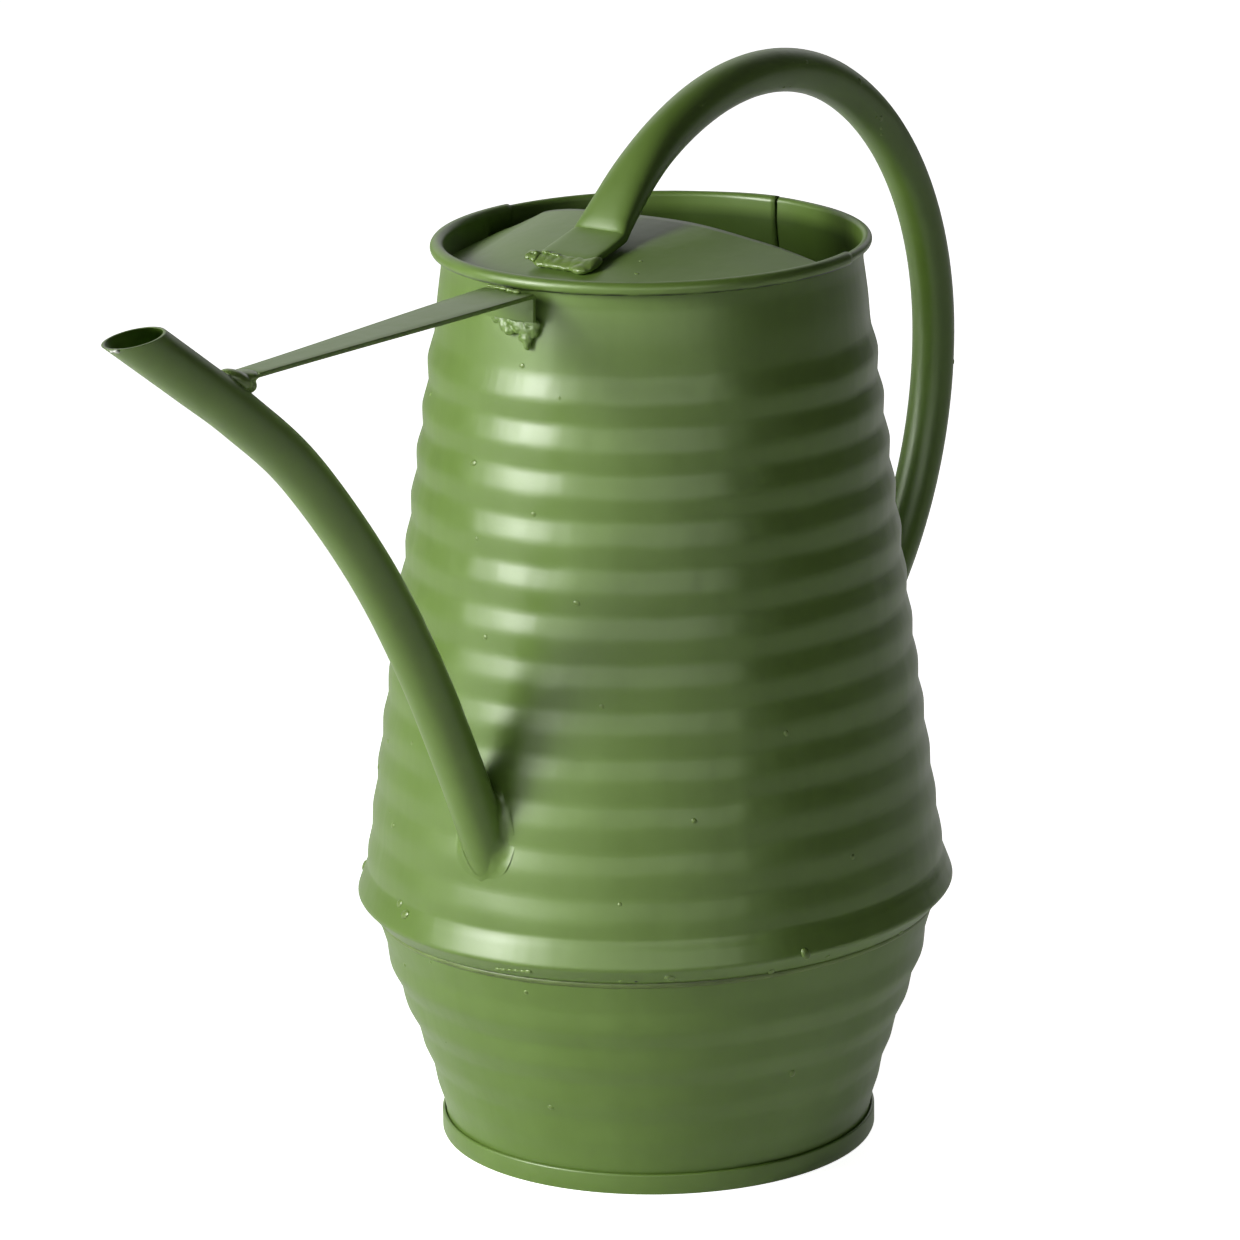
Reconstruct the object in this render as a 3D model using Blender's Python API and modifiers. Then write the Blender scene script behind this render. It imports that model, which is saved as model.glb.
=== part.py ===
"""Garden watering can of painted tinplate: two ribbed shells, a half cover, a bent tube handle, a long spout and its brace.

Metres, +Z up. The can stands on z = 0, its spout points to -X and its handle is on the +X side.
Every piece hangs on an empty on the can's own axis, so inside this file x, y = 0, 0 is that axis.
"""
import math

import bmesh
import bpy
from mathutils import Vector

# ---- driving dimensions ----
SEGMENTS = 36                # facets round a turned piece; all share them, so nested walls stay parallel
SHEET = 0.0005               # tinplate of the two shells
GAP = 0.0003                 # room between two pieces that touch
FIT = 0.0002                 # room between layers rolled round the rim wire

SPOUT_REACH = 0.2686         # axis to the spout's tip
HANDLE_REACH = 0.1739        # axis to the back of the handle
AXIS_X = (SPOUT_REACH - HANDLE_REACH) / 2     # puts the middle of the whole length on x = 0

RIM_Z = 0.3065               # middle of the rolled rim
RIM_RADIUS = 0.07084
WIRE_RADIUS = 0.00095
CURL_RADIUS = WIRE_RADIUS + FIT               # face of the sheet that lies on the wire
NECK_Z = 0.2985              # top of the plain cone, just under the rim
NECK_RADIUS = 0.0698
CONE_FOOT_Z = 0.0963         # where the ribbed cone ends and the shoulder bead starts
CONE_FOOT_RADIUS = 0.0970
CONE_SLOPE = (CONE_FOOT_RADIUS - NECK_RADIUS) / (NECK_Z - CONE_FOOT_Z)
RIB_PITCH = 0.01525
RIB_COUNT = 12
RIB_TOP_Z = 0.2693           # crest of the highest rib
RIB_HEIGHT = 0.0007          # crest above, and trough below, the plain cone
LIP_Z = 0.0812               # lower edge of the upper shell
LIP_RADIUS = 0.0953
SHOULDER_HEIGHT = 0.0045    # how far the shoulder bead stands out

TUCK_RADIUS = LIP_RADIUS - SHEET - GAP        # collar of the lower shell inside the upper one
TUCK_TOP_Z = 0.0880
FOOT_TOP_Z = 0.0080
FOOT_RADIUS = 0.0722
BOWL_SWAY = 0.0008           # the lower shell is this much hollow below and full above
LOWER_RIB_PITCH = 0.0146
LOWER_RIB_TOP_Z = 0.0620
LOWER_RIB_COUNT = 4
LOWER_RIB_HEIGHT = 0.0006    # of the highest rib; each lower one is fainter
FOOT_BAND_HEIGHT = 0.0070
FOOT_BAND_THICKNESS = 0.0010
BASE_Z = 0.0060              # the base plate is set up inside the foot
BASE_SHEET = 0.0006

COVER_SHEET = 0.00045
COVER_FLANGE_RADIUS = CURL_RADIUS + SHEET + FIT + COVER_SHEET
COVER_WALL_RADIUS = RIM_RADIUS - COVER_FLANGE_RADIUS
COVER_FRONT_Z = 0.3018       # plate's edge at the spout side
COVER_DIPPED_Z = 0.2990      # plate's edge at the +Y end of the free edge, pressed well down
COVER_LEVEL_Z = 0.3058       # and at the -Y end, almost level with the rim
COVER_TOP_Z = 0.3148         # top of the arched free edge
COVER_STEP = 10              # degrees between its columns
COVER_PLATE_HALF_ANGLE = 90
COVER_FLANGE_HALF_ANGLE = 100

SPOUT_RADIUS = 0.0078
SPOUT_WALL = 0.0006
MOUTH_Z = 0.3236             # the mouth is cut level
SPOUT_HOLE_RADIUS = 0.0060   # of the hole in the body behind the root
SPOUT_HOLE_LEAN = 35         # degrees the hole leans back from the tube towards square to the wall
SPOUT_FILLET = 0.0024        # solder stands this far out round the root
SPOUT_SOLDER_SHEET = 0.0016  # and this thick on the wall
SPOUT_ROUTE = (              # distance in front of the axis, height: hand-bent, steep at first
    (0.0785, 0.0950), (0.0913, 0.1224), (0.1048, 0.1523), (0.1242, 0.1907),
    (0.1483, 0.2286), (0.1802, 0.2666), (0.2079, 0.2900), (0.2304, 0.3062),
    (0.2551, 0.3236), (0.2790, 0.3404))

HANDLE_RADIUS = 0.0074
HANDLE_WALL = 0.0008
HANDLE_SIDES = 12
HANDLE_CENTRE = (-0.0570, 0.2445)             # middle of the handle's arc
HANDLE_ARC_RADIUS = 0.1095
HANDLE_FRONT_TUCK = 0.0033   # the arc is this much tighter over the cover
HANDLE_BACK_EASE = 0.0055    # and opens by this much HANDLE_EASE_ANGLE past its rearmost point
HANDLE_EASE_ANGLE = 44
HANDLE_START_ANGLE = 48
HANDLE_END_ANGLE = 243
FOOT_HALF_WIDTH = 0.0112     # flattened 15 mm tube
FOOT_HALF_HEIGHT = 0.00145
REAR_TAB_Z = 0.1070          # lower end of the tab on the back wall
CREASE_HALF_WIDTH = 0.0102
CREASE_HALF_HEIGHT = 0.0024

BRACE_THICKNESS = 0.0015
BRACE_TOP_Z = RIM_Z - COVER_FLANGE_RADIUS - GAP
BRACE_TAB_AHEAD = 0.0725     # outer face of the tab, under the rim
BRACE_OUTER = 0.2040
BRACE_TAB = 0.0095
BRACE_DROP = 0.0012          # the bar runs down by this much towards the spout
BRACE_BEND = 0.0008
BRACE_HALF_WIDTHS = (0.0100, 0.0100, 0.0100, 0.0056, 0.0045)

SHOULDER_SOLDER_HEIGHT = 0.0018
DRIP_SIZE = (0.0170, 0.0090)                  # width and height of the solder under the brace's tab
MOUND_SIZE = (0.0140, 0.0084, 0.0120)         # of the solder that buries the brace's outer end
MOUND_COVER = 0.0010                          # of it lies over the bar
COVER_BEAD_SIZE = (0.0040, 0.0260, 0.0030)    # solder across the front of the handle's foot
COVER_BEAD_CENTRE = (0.0460, 0.3079)
REAR_BEAD_SIZE = (0.0050, 0.0250, 0.0042)     # and under its tab on the back wall
LUMP_ROUNDING = 0.0008

ENAMEL = (0.110, 0.210, 0.060)
SOLDERED_ENAMEL = (0.130, 0.240, 0.075)


# ---- scene, materials and small helpers ----
def clear_scene():
    for obj in list(bpy.data.objects):
        bpy.data.objects.remove(obj, do_unlink=True)


def new_collection(name):
    collection = bpy.data.collections.new(name)
    bpy.context.scene.collection.children.link(collection)
    return collection


clear_scene()
PARTS = new_collection("watering_can")
CUTTERS = new_collection("cutters")
AXIS = bpy.data.objects.new("can_axis", None)
PARTS.objects.link(AXIS)
AXIS.location = (AXIS_X, 0.0, 0.0)


def paint(name, colour, roughness=0.42):
    material = bpy.data.materials.new(name)
    material.use_nodes = True
    shader = material.node_tree.nodes["Principled BSDF"]
    shader.inputs["Base Color"].default_value = (*colour, 1.0)
    shader.inputs["Roughness"].default_value = roughness
    shader.inputs["Metallic"].default_value = 0.0
    return material


def add_part(name, mesh, colour=ENAMEL):
    obj = bpy.data.objects.new(name, mesh)
    mesh.materials.clear()
    mesh.materials.append(paint(name + "_paint", colour))
    PARTS.objects.link(obj)
    obj.parent = AXIS
    return obj


def add_cutter(name, mesh):
    obj = bpy.data.objects.new(name, mesh)
    CUTTERS.objects.link(obj)
    obj.parent = AXIS
    obj.hide_render = True
    obj.display_type = "WIRE"
    return obj


def mesh_from(name, points, faces=(), edges=()):
    mesh = bpy.data.meshes.new(name)
    mesh.from_pydata([tuple(point) for point in points], list(edges), list(faces))
    mesh.update()
    return mesh


def smooth(mesh, angle=35):
    mesh.shade_smooth()
    mesh.set_sharp_from_angle(angle=math.radians(angle))


def box_mesh(name, size):
    mesh = bpy.data.meshes.new(name)
    work = bmesh.new()
    bmesh.ops.create_cube(work, size=1.0)
    bmesh.ops.scale(work, vec=size, verts=work.verts)
    work.to_mesh(mesh)
    work.free()
    return mesh


def profile_mesh(name, profile, closed=False):
    """A radius-height outline in the XZ plane, ready for a Screw modifier."""
    count = len(profile)
    edges = [(i, i + 1) for i in range(count - 1)]
    if closed:
        edges.append((count - 1, 0))
    return mesh_from(name, [(radius, 0.0, z) for radius, z in profile], edges=edges)


def turn(obj):
    screw = obj.modifiers.new("turned", "SCREW")
    screw.axis = "Z"
    screw.steps = SEGMENTS
    screw.render_steps = SEGMENTS
    screw.use_merge_vertices = True
    screw.merge_threshold = 0.00001
    screw.use_smooth_shade = True


def thicken(obj, thickness):
    """Give an open surface its wall, on the side away from its faces."""
    wall = obj.modifiers.new("sheet", "SOLIDIFY")
    wall.thickness = thickness
    wall.offset = -1.0
    wall.use_even_offset = True
    wall.use_quality_normals = True


def combine(obj, other, operation):
    boolean = obj.modifiers.new(operation.lower() + "_" + other.name, "BOOLEAN")
    boolean.operation = operation
    boolean.solver = "EXACT"
    boolean.object = other


def at(ahead, z, side=0.0):
    """A point given by its distance in front of the axis, towards the spout."""
    return Vector((-ahead, side, z))


def ease(low, high, value):
    part = min(max((value - low) / (high - low), 0.0), 1.0)
    return part * part * (3.0 - 2.0 * part)


def arc(centre_radius, centre_z, radius, start, end, steps):
    """Points of an arc in the turning plane, angles in degrees from straight out."""
    points = []
    for i in range(steps + 1):
        angle = math.radians(start + (end - start) * i / steps)
        points.append((centre_radius + radius * math.cos(angle), centre_z + radius * math.sin(angle)))
    return points


def through(points, steps):
    """A smooth curve through hand-chosen points: uniform Catmull-Rom, a few steps per span."""
    ends = [2 * points[0] - points[1]] + list(points) + [2 * points[-1] - points[-2]]
    curve = []
    for i in range(1, len(ends) - 2):
        before, a, b, after = ends[i - 1:i + 3]
        for step in range(steps):
            t = step / steps
            curve.append(0.5 * (2 * a + (b - before) * t + (2 * before - 5 * a + 4 * b - after) * t ** 2
                                + (3 * a - before - 3 * b + after) * t ** 3))
    curve.append(points[-1])
    return curve


# ---- the turned outlines ----
def cone_radius(z):
    return NECK_RADIUS + CONE_SLOPE * (NECK_Z - z)


def ribbed_cone(offset=0.0):
    """Crest and trough of every rib, from the top down."""
    points = []
    for i in range(2 * RIB_COUNT - 1):
        z = RIB_TOP_Z - i * RIB_PITCH / 2
        swell = RIB_HEIGHT if i % 2 == 0 else -RIB_HEIGHT
        points.append((cone_radius(z) + swell + offset, z))
    return points


def shoulder_bead():
    points = []
    steps = 6
    for i in range(steps + 1):
        part = 1.0 - i / steps
        z = LIP_Z + (CONE_FOOT_Z - LIP_Z) * part
        radius = LIP_RADIUS + (CONE_FOOT_RADIUS - LIP_RADIUS) * part
        points.append((radius + SHOULDER_HEIGHT * math.sin(math.pi * part) ** 0.85, z))
    return points


def upper_outline():
    curl = arc(RIM_RADIUS, RIM_Z, CURL_RADIUS, -70, 180, 7)
    neck = [(NECK_RADIUS, NECK_Z)]
    shoulder = shoulder_bead()
    return curl + neck + ribbed_cone() + shoulder


def bowl_radius(z):
    part = (z - FOOT_TOP_Z) / (LIP_Z - FOOT_TOP_Z)
    return FOOT_RADIUS + (TUCK_RADIUS - FOOT_RADIUS) * part - BOWL_SWAY * math.sin(2 * math.pi * part)


def lower_outline():
    points = [(TUCK_RADIUS, TUCK_TOP_Z), (TUCK_RADIUS, LIP_Z)]
    for i in range(-1, 2 * LOWER_RIB_COUNT):
        z = LOWER_RIB_TOP_Z - i * LOWER_RIB_PITCH / 2
        height = LOWER_RIB_HEIGHT * (1.0 - 0.08 * i)
        points.append((bowl_radius(z) + (height if i % 2 == 0 else -height), z))
    return points + [(FOOT_RADIUS, FOOT_TOP_Z), (FOOT_RADIUS, GAP)]


def body_solid(name, offset):
    """The upper shell filled in, a little bigger: it cuts saddles and soldered lumps to the wall."""
    outline = [(0.0, NECK_Z)] + [(NECK_RADIUS + offset, NECK_Z)] + ribbed_cone(offset)
    outline += [(radius + offset, z) for radius, z in shoulder_bead()[:3]]
    outline.append((0.0, outline[-1][1]))
    cutter = add_cutter(name, profile_mesh(name, outline))
    turn(cutter)
    return cutter


# ---- tubes ----
def tube_mesh(name, route, radius, resolution, caps):
    """A round tube along a route, as a mesh; open-ended unless caps is set."""
    curve = bpy.data.curves.new(name, "CURVE")
    curve.dimensions = "3D"
    curve.bevel_depth = radius
    curve.bevel_resolution = resolution
    curve.use_fill_caps = caps
    spline = curve.splines.new("POLY")
    spline.points.add(len(route) - 1)
    for knot, place in zip(spline.points, route):
        knot.co = (*place, 1.0)
    guide = bpy.data.objects.new(name, curve)
    CUTTERS.objects.link(guide)
    graph = bpy.context.evaluated_depsgraph_get()
    mesh = bpy.data.meshes.new_from_object(guide.evaluated_get(graph))
    bpy.data.objects.remove(guide, do_unlink=True)
    work = bmesh.new()
    work.from_mesh(mesh)
    bmesh.ops.remove_doubles(work, verts=work.verts, dist=0.00001)
    work.to_mesh(mesh)
    work.free()
    smooth(mesh)
    return mesh


def section(centre, tangent, half_width, half_height, fullness):
    """A ring round a path in the XZ plane, round at fullness 1 and boxy as it falls."""
    normal = Vector((-tangent.z, 0.0, tangent.x))
    ring = []
    for i in range(HANDLE_SIDES):
        angle = 2 * math.pi * i / HANDLE_SIDES
        across, up = math.cos(angle), math.sin(angle)
        across = math.copysign(abs(across) ** fullness, across) if abs(across) > 1e-6 else 0.0
        up = math.copysign(abs(up) ** fullness, up) if abs(up) > 1e-6 else 0.0
        ring.append(centre + Vector((0.0, 1.0, 0.0)) * across * half_width + normal * up * half_height)
    return ring


def loft(name, stations):
    """An open tube through unlike sections; a station is centre, half width, half height, fullness."""
    centres = [station[0] for station in stations]
    points = []
    for i, (centre, half_width, half_height, fullness) in enumerate(stations):
        before = centres[max(i - 1, 0)]
        after = centres[min(i + 1, len(centres) - 1)]
        points += section(centre, (after - before).normalized(), half_width, half_height, fullness)
    faces = []
    for i in range(len(stations) - 1):
        for j in range(HANDLE_SIDES):
            here, there = i * HANDLE_SIDES, (i + 1) * HANDLE_SIDES
            k = (j + 1) % HANDLE_SIDES
            faces.append((here + j, here + k, there + k, there + j))
    mesh = mesh_from(name, points, faces)
    smooth(mesh)
    return mesh


# ---- body ----
def make_upper_shell(hole):
    """Ribbed cone with a rim curled outwards round the wire and a shoulder bead at its foot."""
    obj = add_part("upper_shell", profile_mesh("upper_shell", upper_outline()))
    turn(obj)
    thicken(obj, SHEET)
    combine(obj, hole, "DIFFERENCE")


def make_lower_shell():
    obj = add_part("lower_shell", profile_mesh("lower_shell", lower_outline()))
    turn(obj)
    thicken(obj, SHEET)


def make_rim_wire():
    outline = arc(RIM_RADIUS, RIM_Z, WIRE_RADIUS, 0, -300, 5)
    turn(add_part("rim_wire", profile_mesh("rim_wire", outline, closed=True), (0.35, 0.35, 0.34)))


def make_base():
    """Base plate with a flange turned down inside the foot, and the band round the outside."""
    flange = FOOT_RADIUS - SHEET - GAP
    outline = [(0.0, BASE_Z), (flange - 0.0008, BASE_Z), (flange, BASE_Z - 0.0008), (flange, 2 * GAP)]
    plate = add_part("base_plate", profile_mesh("base_plate", outline))
    turn(plate)
    thicken(plate, BASE_SHEET)
    inner = FOOT_RADIUS + GAP
    outer = inner + FOOT_BAND_THICKNESS
    band = [(inner, FOOT_BAND_HEIGHT), (outer, FOOT_BAND_HEIGHT), (outer, 0.0), (inner, 0.0)]
    turn(add_part("foot_band", profile_mesh("foot_band", band, closed=True)))


def make_shoulder_solder():
    """Run of solder under the upper shell's lip, all the way round."""
    wall = TUCK_RADIUS + GAP
    top = LIP_Z - GAP
    bottom = top - SHOULDER_SOLDER_HEIGHT
    outline = [(wall, top), (LIP_RADIUS + 0.0002, top), (wall + 0.0002, bottom), (wall - 0.0001, bottom)]
    ring = add_part("shoulder_solder", profile_mesh("shoulder_solder", outline, closed=True), SOLDERED_ENAMEL)
    turn(ring)


# ---- half cover ----
def cover_end(side):
    """Height and fullness of the free edge's end on this side."""
    return (COVER_DIPPED_Z, 3.5) if side > 0 else (COVER_LEVEL_Z, 2.0)


def cover_edge(side):
    """Height of the arched free edge."""
    end_z, power = cover_end(side)
    part = min(abs(side) / COVER_WALL_RADIUS, 1.0)
    return end_z + (COVER_TOP_Z - end_z) * (1.0 - part ** power)


def make_half_cover():
    """Plate over the spout half of the mouth, its flange rolled over the rim."""
    plate_rows = 5
    flange = arc(RIM_RADIUS, RIM_Z, COVER_FLANGE_RADIUS, -50, 180, 7)
    angles = range(-COVER_FLANGE_HALF_ANGLE, COVER_FLANGE_HALF_ANGLE + 1, COVER_STEP)
    rows = len(flange) + 1 + plate_rows
    points = []
    for degrees in angles:
        angle = math.radians(degrees)
        ahead, side = math.cos(angle), math.sin(angle)
        edge_z = COVER_FRONT_Z + (cover_end(side)[0] - COVER_FRONT_Z) * side * side
        foot_ahead, foot_side = COVER_WALL_RADIUS * ahead, COVER_WALL_RADIUS * side
        points += [at(radius * ahead, z, radius * side) for radius, z in flange]
        points.append(at(foot_ahead, edge_z, foot_side))
        for row in range(1, plate_rows + 1):
            part = row / plate_rows
            z = edge_z + (cover_edge(foot_side) - edge_z) * part
            points.append(at(foot_ahead * (1.0 - part), z, foot_side))
    faces = []
    for column, degrees in enumerate(list(angles)[:-1]):
        on_plate = -COVER_PLATE_HALF_ANGLE <= degrees < COVER_PLATE_HALF_ANGLE
        last = rows - 1 if on_plate else len(flange)
        for row in range(last):
            here = column * rows + row
            faces.append((here, here + 1, here + rows + 1, here + rows))
    mesh = mesh_from("half_cover", points, faces)
    work = bmesh.new()
    work.from_mesh(mesh)
    bmesh.ops.remove_doubles(work, verts=work.verts, dist=0.00001)
    loose = [vertex for vertex in work.verts if not vertex.link_faces]
    bmesh.ops.delete(work, geom=loose, context="VERTS")
    work.to_mesh(mesh)
    work.free()
    smooth(mesh)
    obj = add_part("half_cover", mesh)
    thicken(obj, COVER_SHEET)


# ---- spout ----
def spout_route():
    return through([at(ahead, z) for ahead, z in SPOUT_ROUTE], 3)


def make_spout(body):
    """Tube bent outwards, saddled to the wall at its root and cut level at its mouth."""
    route = spout_route()
    spout = add_part("spout_tube", tube_mesh("spout_tube", route, SPOUT_RADIUS, 4, caps=False))
    thicken(spout, SPOUT_WALL)
    combine(spout, body, "DIFFERENCE")
    sky_size = (0.12, 0.08, 0.05)
    sky = add_cutter("above_mouth", box_mesh("above_mouth", sky_size))
    sky.location = at(SPOUT_REACH, MOUTH_Z + sky_size[2] / 2)
    combine(spout, sky, "DIFFERENCE")


def spout_hole():
    """Round hole through the wall behind the spout's root."""
    mesh = bpy.data.meshes.new("spout_hole")
    work = bmesh.new()
    bmesh.ops.create_cone(work, cap_ends=True, segments=12, radius1=SPOUT_HOLE_RADIUS,
                          radius2=SPOUT_HOLE_RADIUS, depth=0.03)
    work.to_mesh(mesh)
    work.free()
    hole = add_cutter("spout_hole", mesh)
    foot, above = (at(*SPOUT_ROUTE[i]) for i in (1, 2))
    hole.location = foot + Vector((0.0, 0.0, 0.0020))
    hole.rotation_euler = (above - foot).to_track_quat("Z", "Y").to_euler()
    hole.rotation_euler.rotate_axis("Y", math.radians(SPOUT_HOLE_LEAN))
    return hole


def make_spout_solder(tube_clearance):
    """Fillet of solder round the spout's root: a ring of wall-following metal between two tubes."""
    near = [(radius, z) for radius, z in ribbed_cone(GAP) if 0.100 < z < 0.165]
    far = [(radius + SPOUT_SOLDER_SHEET, z) for radius, z in near]
    outline = far + near[::-1]
    solder = add_part("spout_root_solder", profile_mesh("spout_root_solder", outline, closed=True),
                      SOLDERED_ENAMEL)
    turn(solder)
    route = spout_route()[:12]
    fat = add_cutter("spout_fat", tube_mesh("spout_fat", route, SPOUT_RADIUS + SPOUT_FILLET, 4, caps=True))
    combine(solder, fat, "INTERSECT")
    combine(solder, tube_clearance, "DIFFERENCE")


# ---- brace ----
def make_brace():
    """Flat bar from the rim to the spout, wide at the can, its end bent down as a tab."""
    low = BRACE_TOP_Z - BRACE_TAB
    middle = (BRACE_TAB_AHEAD + BRACE_OUTER) / 2
    path = [(BRACE_TAB_AHEAD, low), (BRACE_TAB_AHEAD, BRACE_TOP_Z - BRACE_BEND),
            (BRACE_TAB_AHEAD + BRACE_BEND, BRACE_TOP_Z), (middle, BRACE_TOP_Z - BRACE_DROP / 2),
            (BRACE_OUTER, BRACE_TOP_Z - BRACE_DROP)]
    points = []
    for (ahead, z), half_width in zip(path, BRACE_HALF_WIDTHS):
        points += [at(ahead, z, -half_width), at(ahead, z, half_width)]
    faces = [(2 * i, 2 * i + 1, 2 * i + 3, 2 * i + 2) for i in range(len(path) - 1)]
    brace = add_part("brace_strap", mesh_from("brace_strap", points, faces))
    thicken(brace, BRACE_THICKNESS)


def lump(name, centre, size, taper=1.0, tilt=0.0):
    """A block of solder, its lower end drawn in by taper and its edges rounded."""
    mesh = bpy.data.meshes.new(name)
    work = bmesh.new()
    bmesh.ops.create_cube(work, size=1.0)
    for vertex in work.verts:
        if vertex.co.z < 0:
            vertex.co.y *= taper
    bmesh.ops.scale(work, vec=size, verts=work.verts)
    work.to_mesh(mesh)
    work.free()
    obj = add_part(name, mesh, SOLDERED_ENAMEL)
    obj.location = centre
    obj.rotation_euler = (0.0, math.radians(tilt), 0.0)
    rounded = obj.modifiers.new("rounded", "BEVEL")
    rounded.width = LUMP_ROUNDING
    rounded.segments = 1
    return obj


def make_brace_solder(body, tube_clearance):
    """A drip between the tab and the wall, and a mound that buries the outer end on the spout."""
    tab_outside = BRACE_TAB_AHEAD + 0.0010
    wall = cone_radius(0.2900)
    width, height = DRIP_SIZE
    low = BRACE_TOP_Z - BRACE_TAB - GAP
    depth = tab_outside - wall + 0.0020
    drip = lump("brace_body_solder", at(tab_outside - depth / 2, low - height / 2),
                (depth, width, height), taper=0.55)
    combine(drip, body, "DIFFERENCE")
    bar_top = BRACE_TOP_Z - BRACE_DROP + GAP
    bar_end = BRACE_OUTER + GAP
    centre_z = bar_top + MOUND_COVER - MOUND_SIZE[2] / 2
    mound = lump("brace_spout_solder", at(BRACE_OUTER + 0.0030, centre_z), MOUND_SIZE)
    slot_height = BRACE_THICKNESS + 2 * GAP
    slot = add_cutter("bar_clearance", box_mesh("bar_clearance", (0.06, 0.02, slot_height)))
    slot.location = at(bar_end - 0.03, bar_top - slot_height / 2)
    combine(mound, slot, "DIFFERENCE")
    combine(mound, tube_clearance, "DIFFERENCE")


# ---- handle ----
def handle_point(degrees):
    radius = HANDLE_ARC_RADIUS - HANDLE_FRONT_TUCK * (1.0 - ease(62, 118, degrees))
    radius += HANDLE_BACK_EASE * (max(degrees - 180, 0) / HANDLE_EASE_ANGLE) ** 2
    angle = math.radians(degrees)
    return at(HANDLE_CENTRE[0] + radius * math.cos(angle), HANDLE_CENTRE[1] + radius * math.sin(angle))


def wall_clear(z, thickness):
    """Distance behind the axis at which a tab of this thickness lies on the rib crests."""
    return -(cone_radius(z) + RIB_HEIGHT + GAP + thickness / 2)


def make_handle():
    """Round tube on one long arc, flattened into a foot on the cover and a tab on the back wall."""
    flat = 0.45
    foot = (FOOT_HALF_WIDTH, FOOT_HALF_HEIGHT, flat)
    stations = [(at(0.0434, 0.3085), *foot), (at(0.0340, 0.3109), FOOT_HALF_WIDTH, 0.0018, flat),
                (at(0.0250, 0.3131), CREASE_HALF_WIDTH, CREASE_HALF_HEIGHT, 0.60),
                (at(0.0212, 0.3165), 0.0096, 0.0040, 0.75)]
    spans = 24
    for i in range(spans + 1):
        degrees = HANDLE_START_ANGLE + (HANDLE_END_ANGLE - HANDLE_START_ANGLE) * i / spans
        start = ease(HANDLE_START_ANGLE - 4, HANDLE_START_ANGLE + 18, degrees)
        end = 1.0 - ease(HANDLE_END_ANGLE - 14, HANDLE_END_ANGLE + 8, degrees)
        round_part = min(start, end)
        half_width = HANDLE_RADIUS + 0.0018 * (1.0 - round_part)
        half_height = HANDLE_RADIUS - 0.0022 * (1.0 - round_part)
        stations.append((handle_point(degrees), half_width, half_height, 1.0 - 0.2 * (1.0 - round_part)))
    for above, half_width, half_height, fullness in (
            (0.0220, 0.0106, 0.0030, 0.6), (0.0155, FOOT_HALF_WIDTH, 0.0018, flat), (0.0, *foot)):
        z = REAR_TAB_Z + above
        stations.append((at(wall_clear(z, 2 * half_height), z), half_width, half_height, fullness))
    handle = add_part("handle_tube", loft("handle_tube", stations))
    thicken(handle, HANDLE_WALL)


def make_handle_solder(body):
    slope = math.degrees(math.atan2(COVER_TOP_Z - COVER_FRONT_Z, COVER_WALL_RADIUS))
    lump("handle_front_solder", at(*COVER_BEAD_CENTRE), COVER_BEAD_SIZE, tilt=-slope)
    centre_z = REAR_TAB_Z - GAP - REAR_BEAD_SIZE[2] / 2
    bead = lump("handle_rear_solder", at(wall_clear(centre_z, 2 * FOOT_HALF_HEIGHT), centre_z), REAR_BEAD_SIZE)
    combine(bead, body, "DIFFERENCE")


def make_can():
    make_upper_shell(spout_hole())
    make_lower_shell()
    make_rim_wire()
    make_base()
    make_shoulder_solder()
    make_half_cover()
    body = body_solid("body_clearance", GAP)
    tube_clearance = add_cutter("spout_clearance", tube_mesh(
        "spout_clearance", spout_route(), SPOUT_RADIUS + GAP, 4, caps=True))
    make_spout(body)
    make_spout_solder(tube_clearance)
    make_brace()
    make_brace_solder(body, tube_clearance)
    make_handle()
    make_handle_solder(body)


make_can()
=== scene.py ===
"""Green enamelled watering can: the finished pieces, the studio and the camera.

Metres, +Z up. Places are written as ahead (distance in front of the can's axis, towards the spout),
height, and side (towards +Y). A turn round the axis starts at the spout and grows towards +Y.
"""
import math
from functools import partial

import bmesh
import bpy
from mathutils import Matrix, Vector, noise


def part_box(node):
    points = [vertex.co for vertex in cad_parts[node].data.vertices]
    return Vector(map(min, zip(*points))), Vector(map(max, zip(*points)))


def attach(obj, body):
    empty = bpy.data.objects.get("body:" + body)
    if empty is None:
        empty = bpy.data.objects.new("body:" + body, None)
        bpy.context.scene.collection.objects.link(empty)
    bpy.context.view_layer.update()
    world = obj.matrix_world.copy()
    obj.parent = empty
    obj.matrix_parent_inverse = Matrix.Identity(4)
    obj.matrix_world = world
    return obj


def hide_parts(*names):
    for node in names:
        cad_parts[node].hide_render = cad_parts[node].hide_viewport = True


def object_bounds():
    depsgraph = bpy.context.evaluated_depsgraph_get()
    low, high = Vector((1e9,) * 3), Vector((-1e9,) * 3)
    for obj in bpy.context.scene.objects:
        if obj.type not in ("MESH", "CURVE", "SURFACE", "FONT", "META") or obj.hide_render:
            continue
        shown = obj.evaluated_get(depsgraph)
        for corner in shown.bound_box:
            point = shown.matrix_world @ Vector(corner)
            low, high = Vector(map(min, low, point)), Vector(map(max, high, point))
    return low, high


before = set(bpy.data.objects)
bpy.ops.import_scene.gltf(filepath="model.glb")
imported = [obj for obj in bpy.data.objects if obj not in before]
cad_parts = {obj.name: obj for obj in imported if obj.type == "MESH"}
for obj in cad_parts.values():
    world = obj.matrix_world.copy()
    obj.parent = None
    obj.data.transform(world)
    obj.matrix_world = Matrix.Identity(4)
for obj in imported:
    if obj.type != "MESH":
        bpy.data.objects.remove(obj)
cad_low, cad_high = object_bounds()

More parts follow.
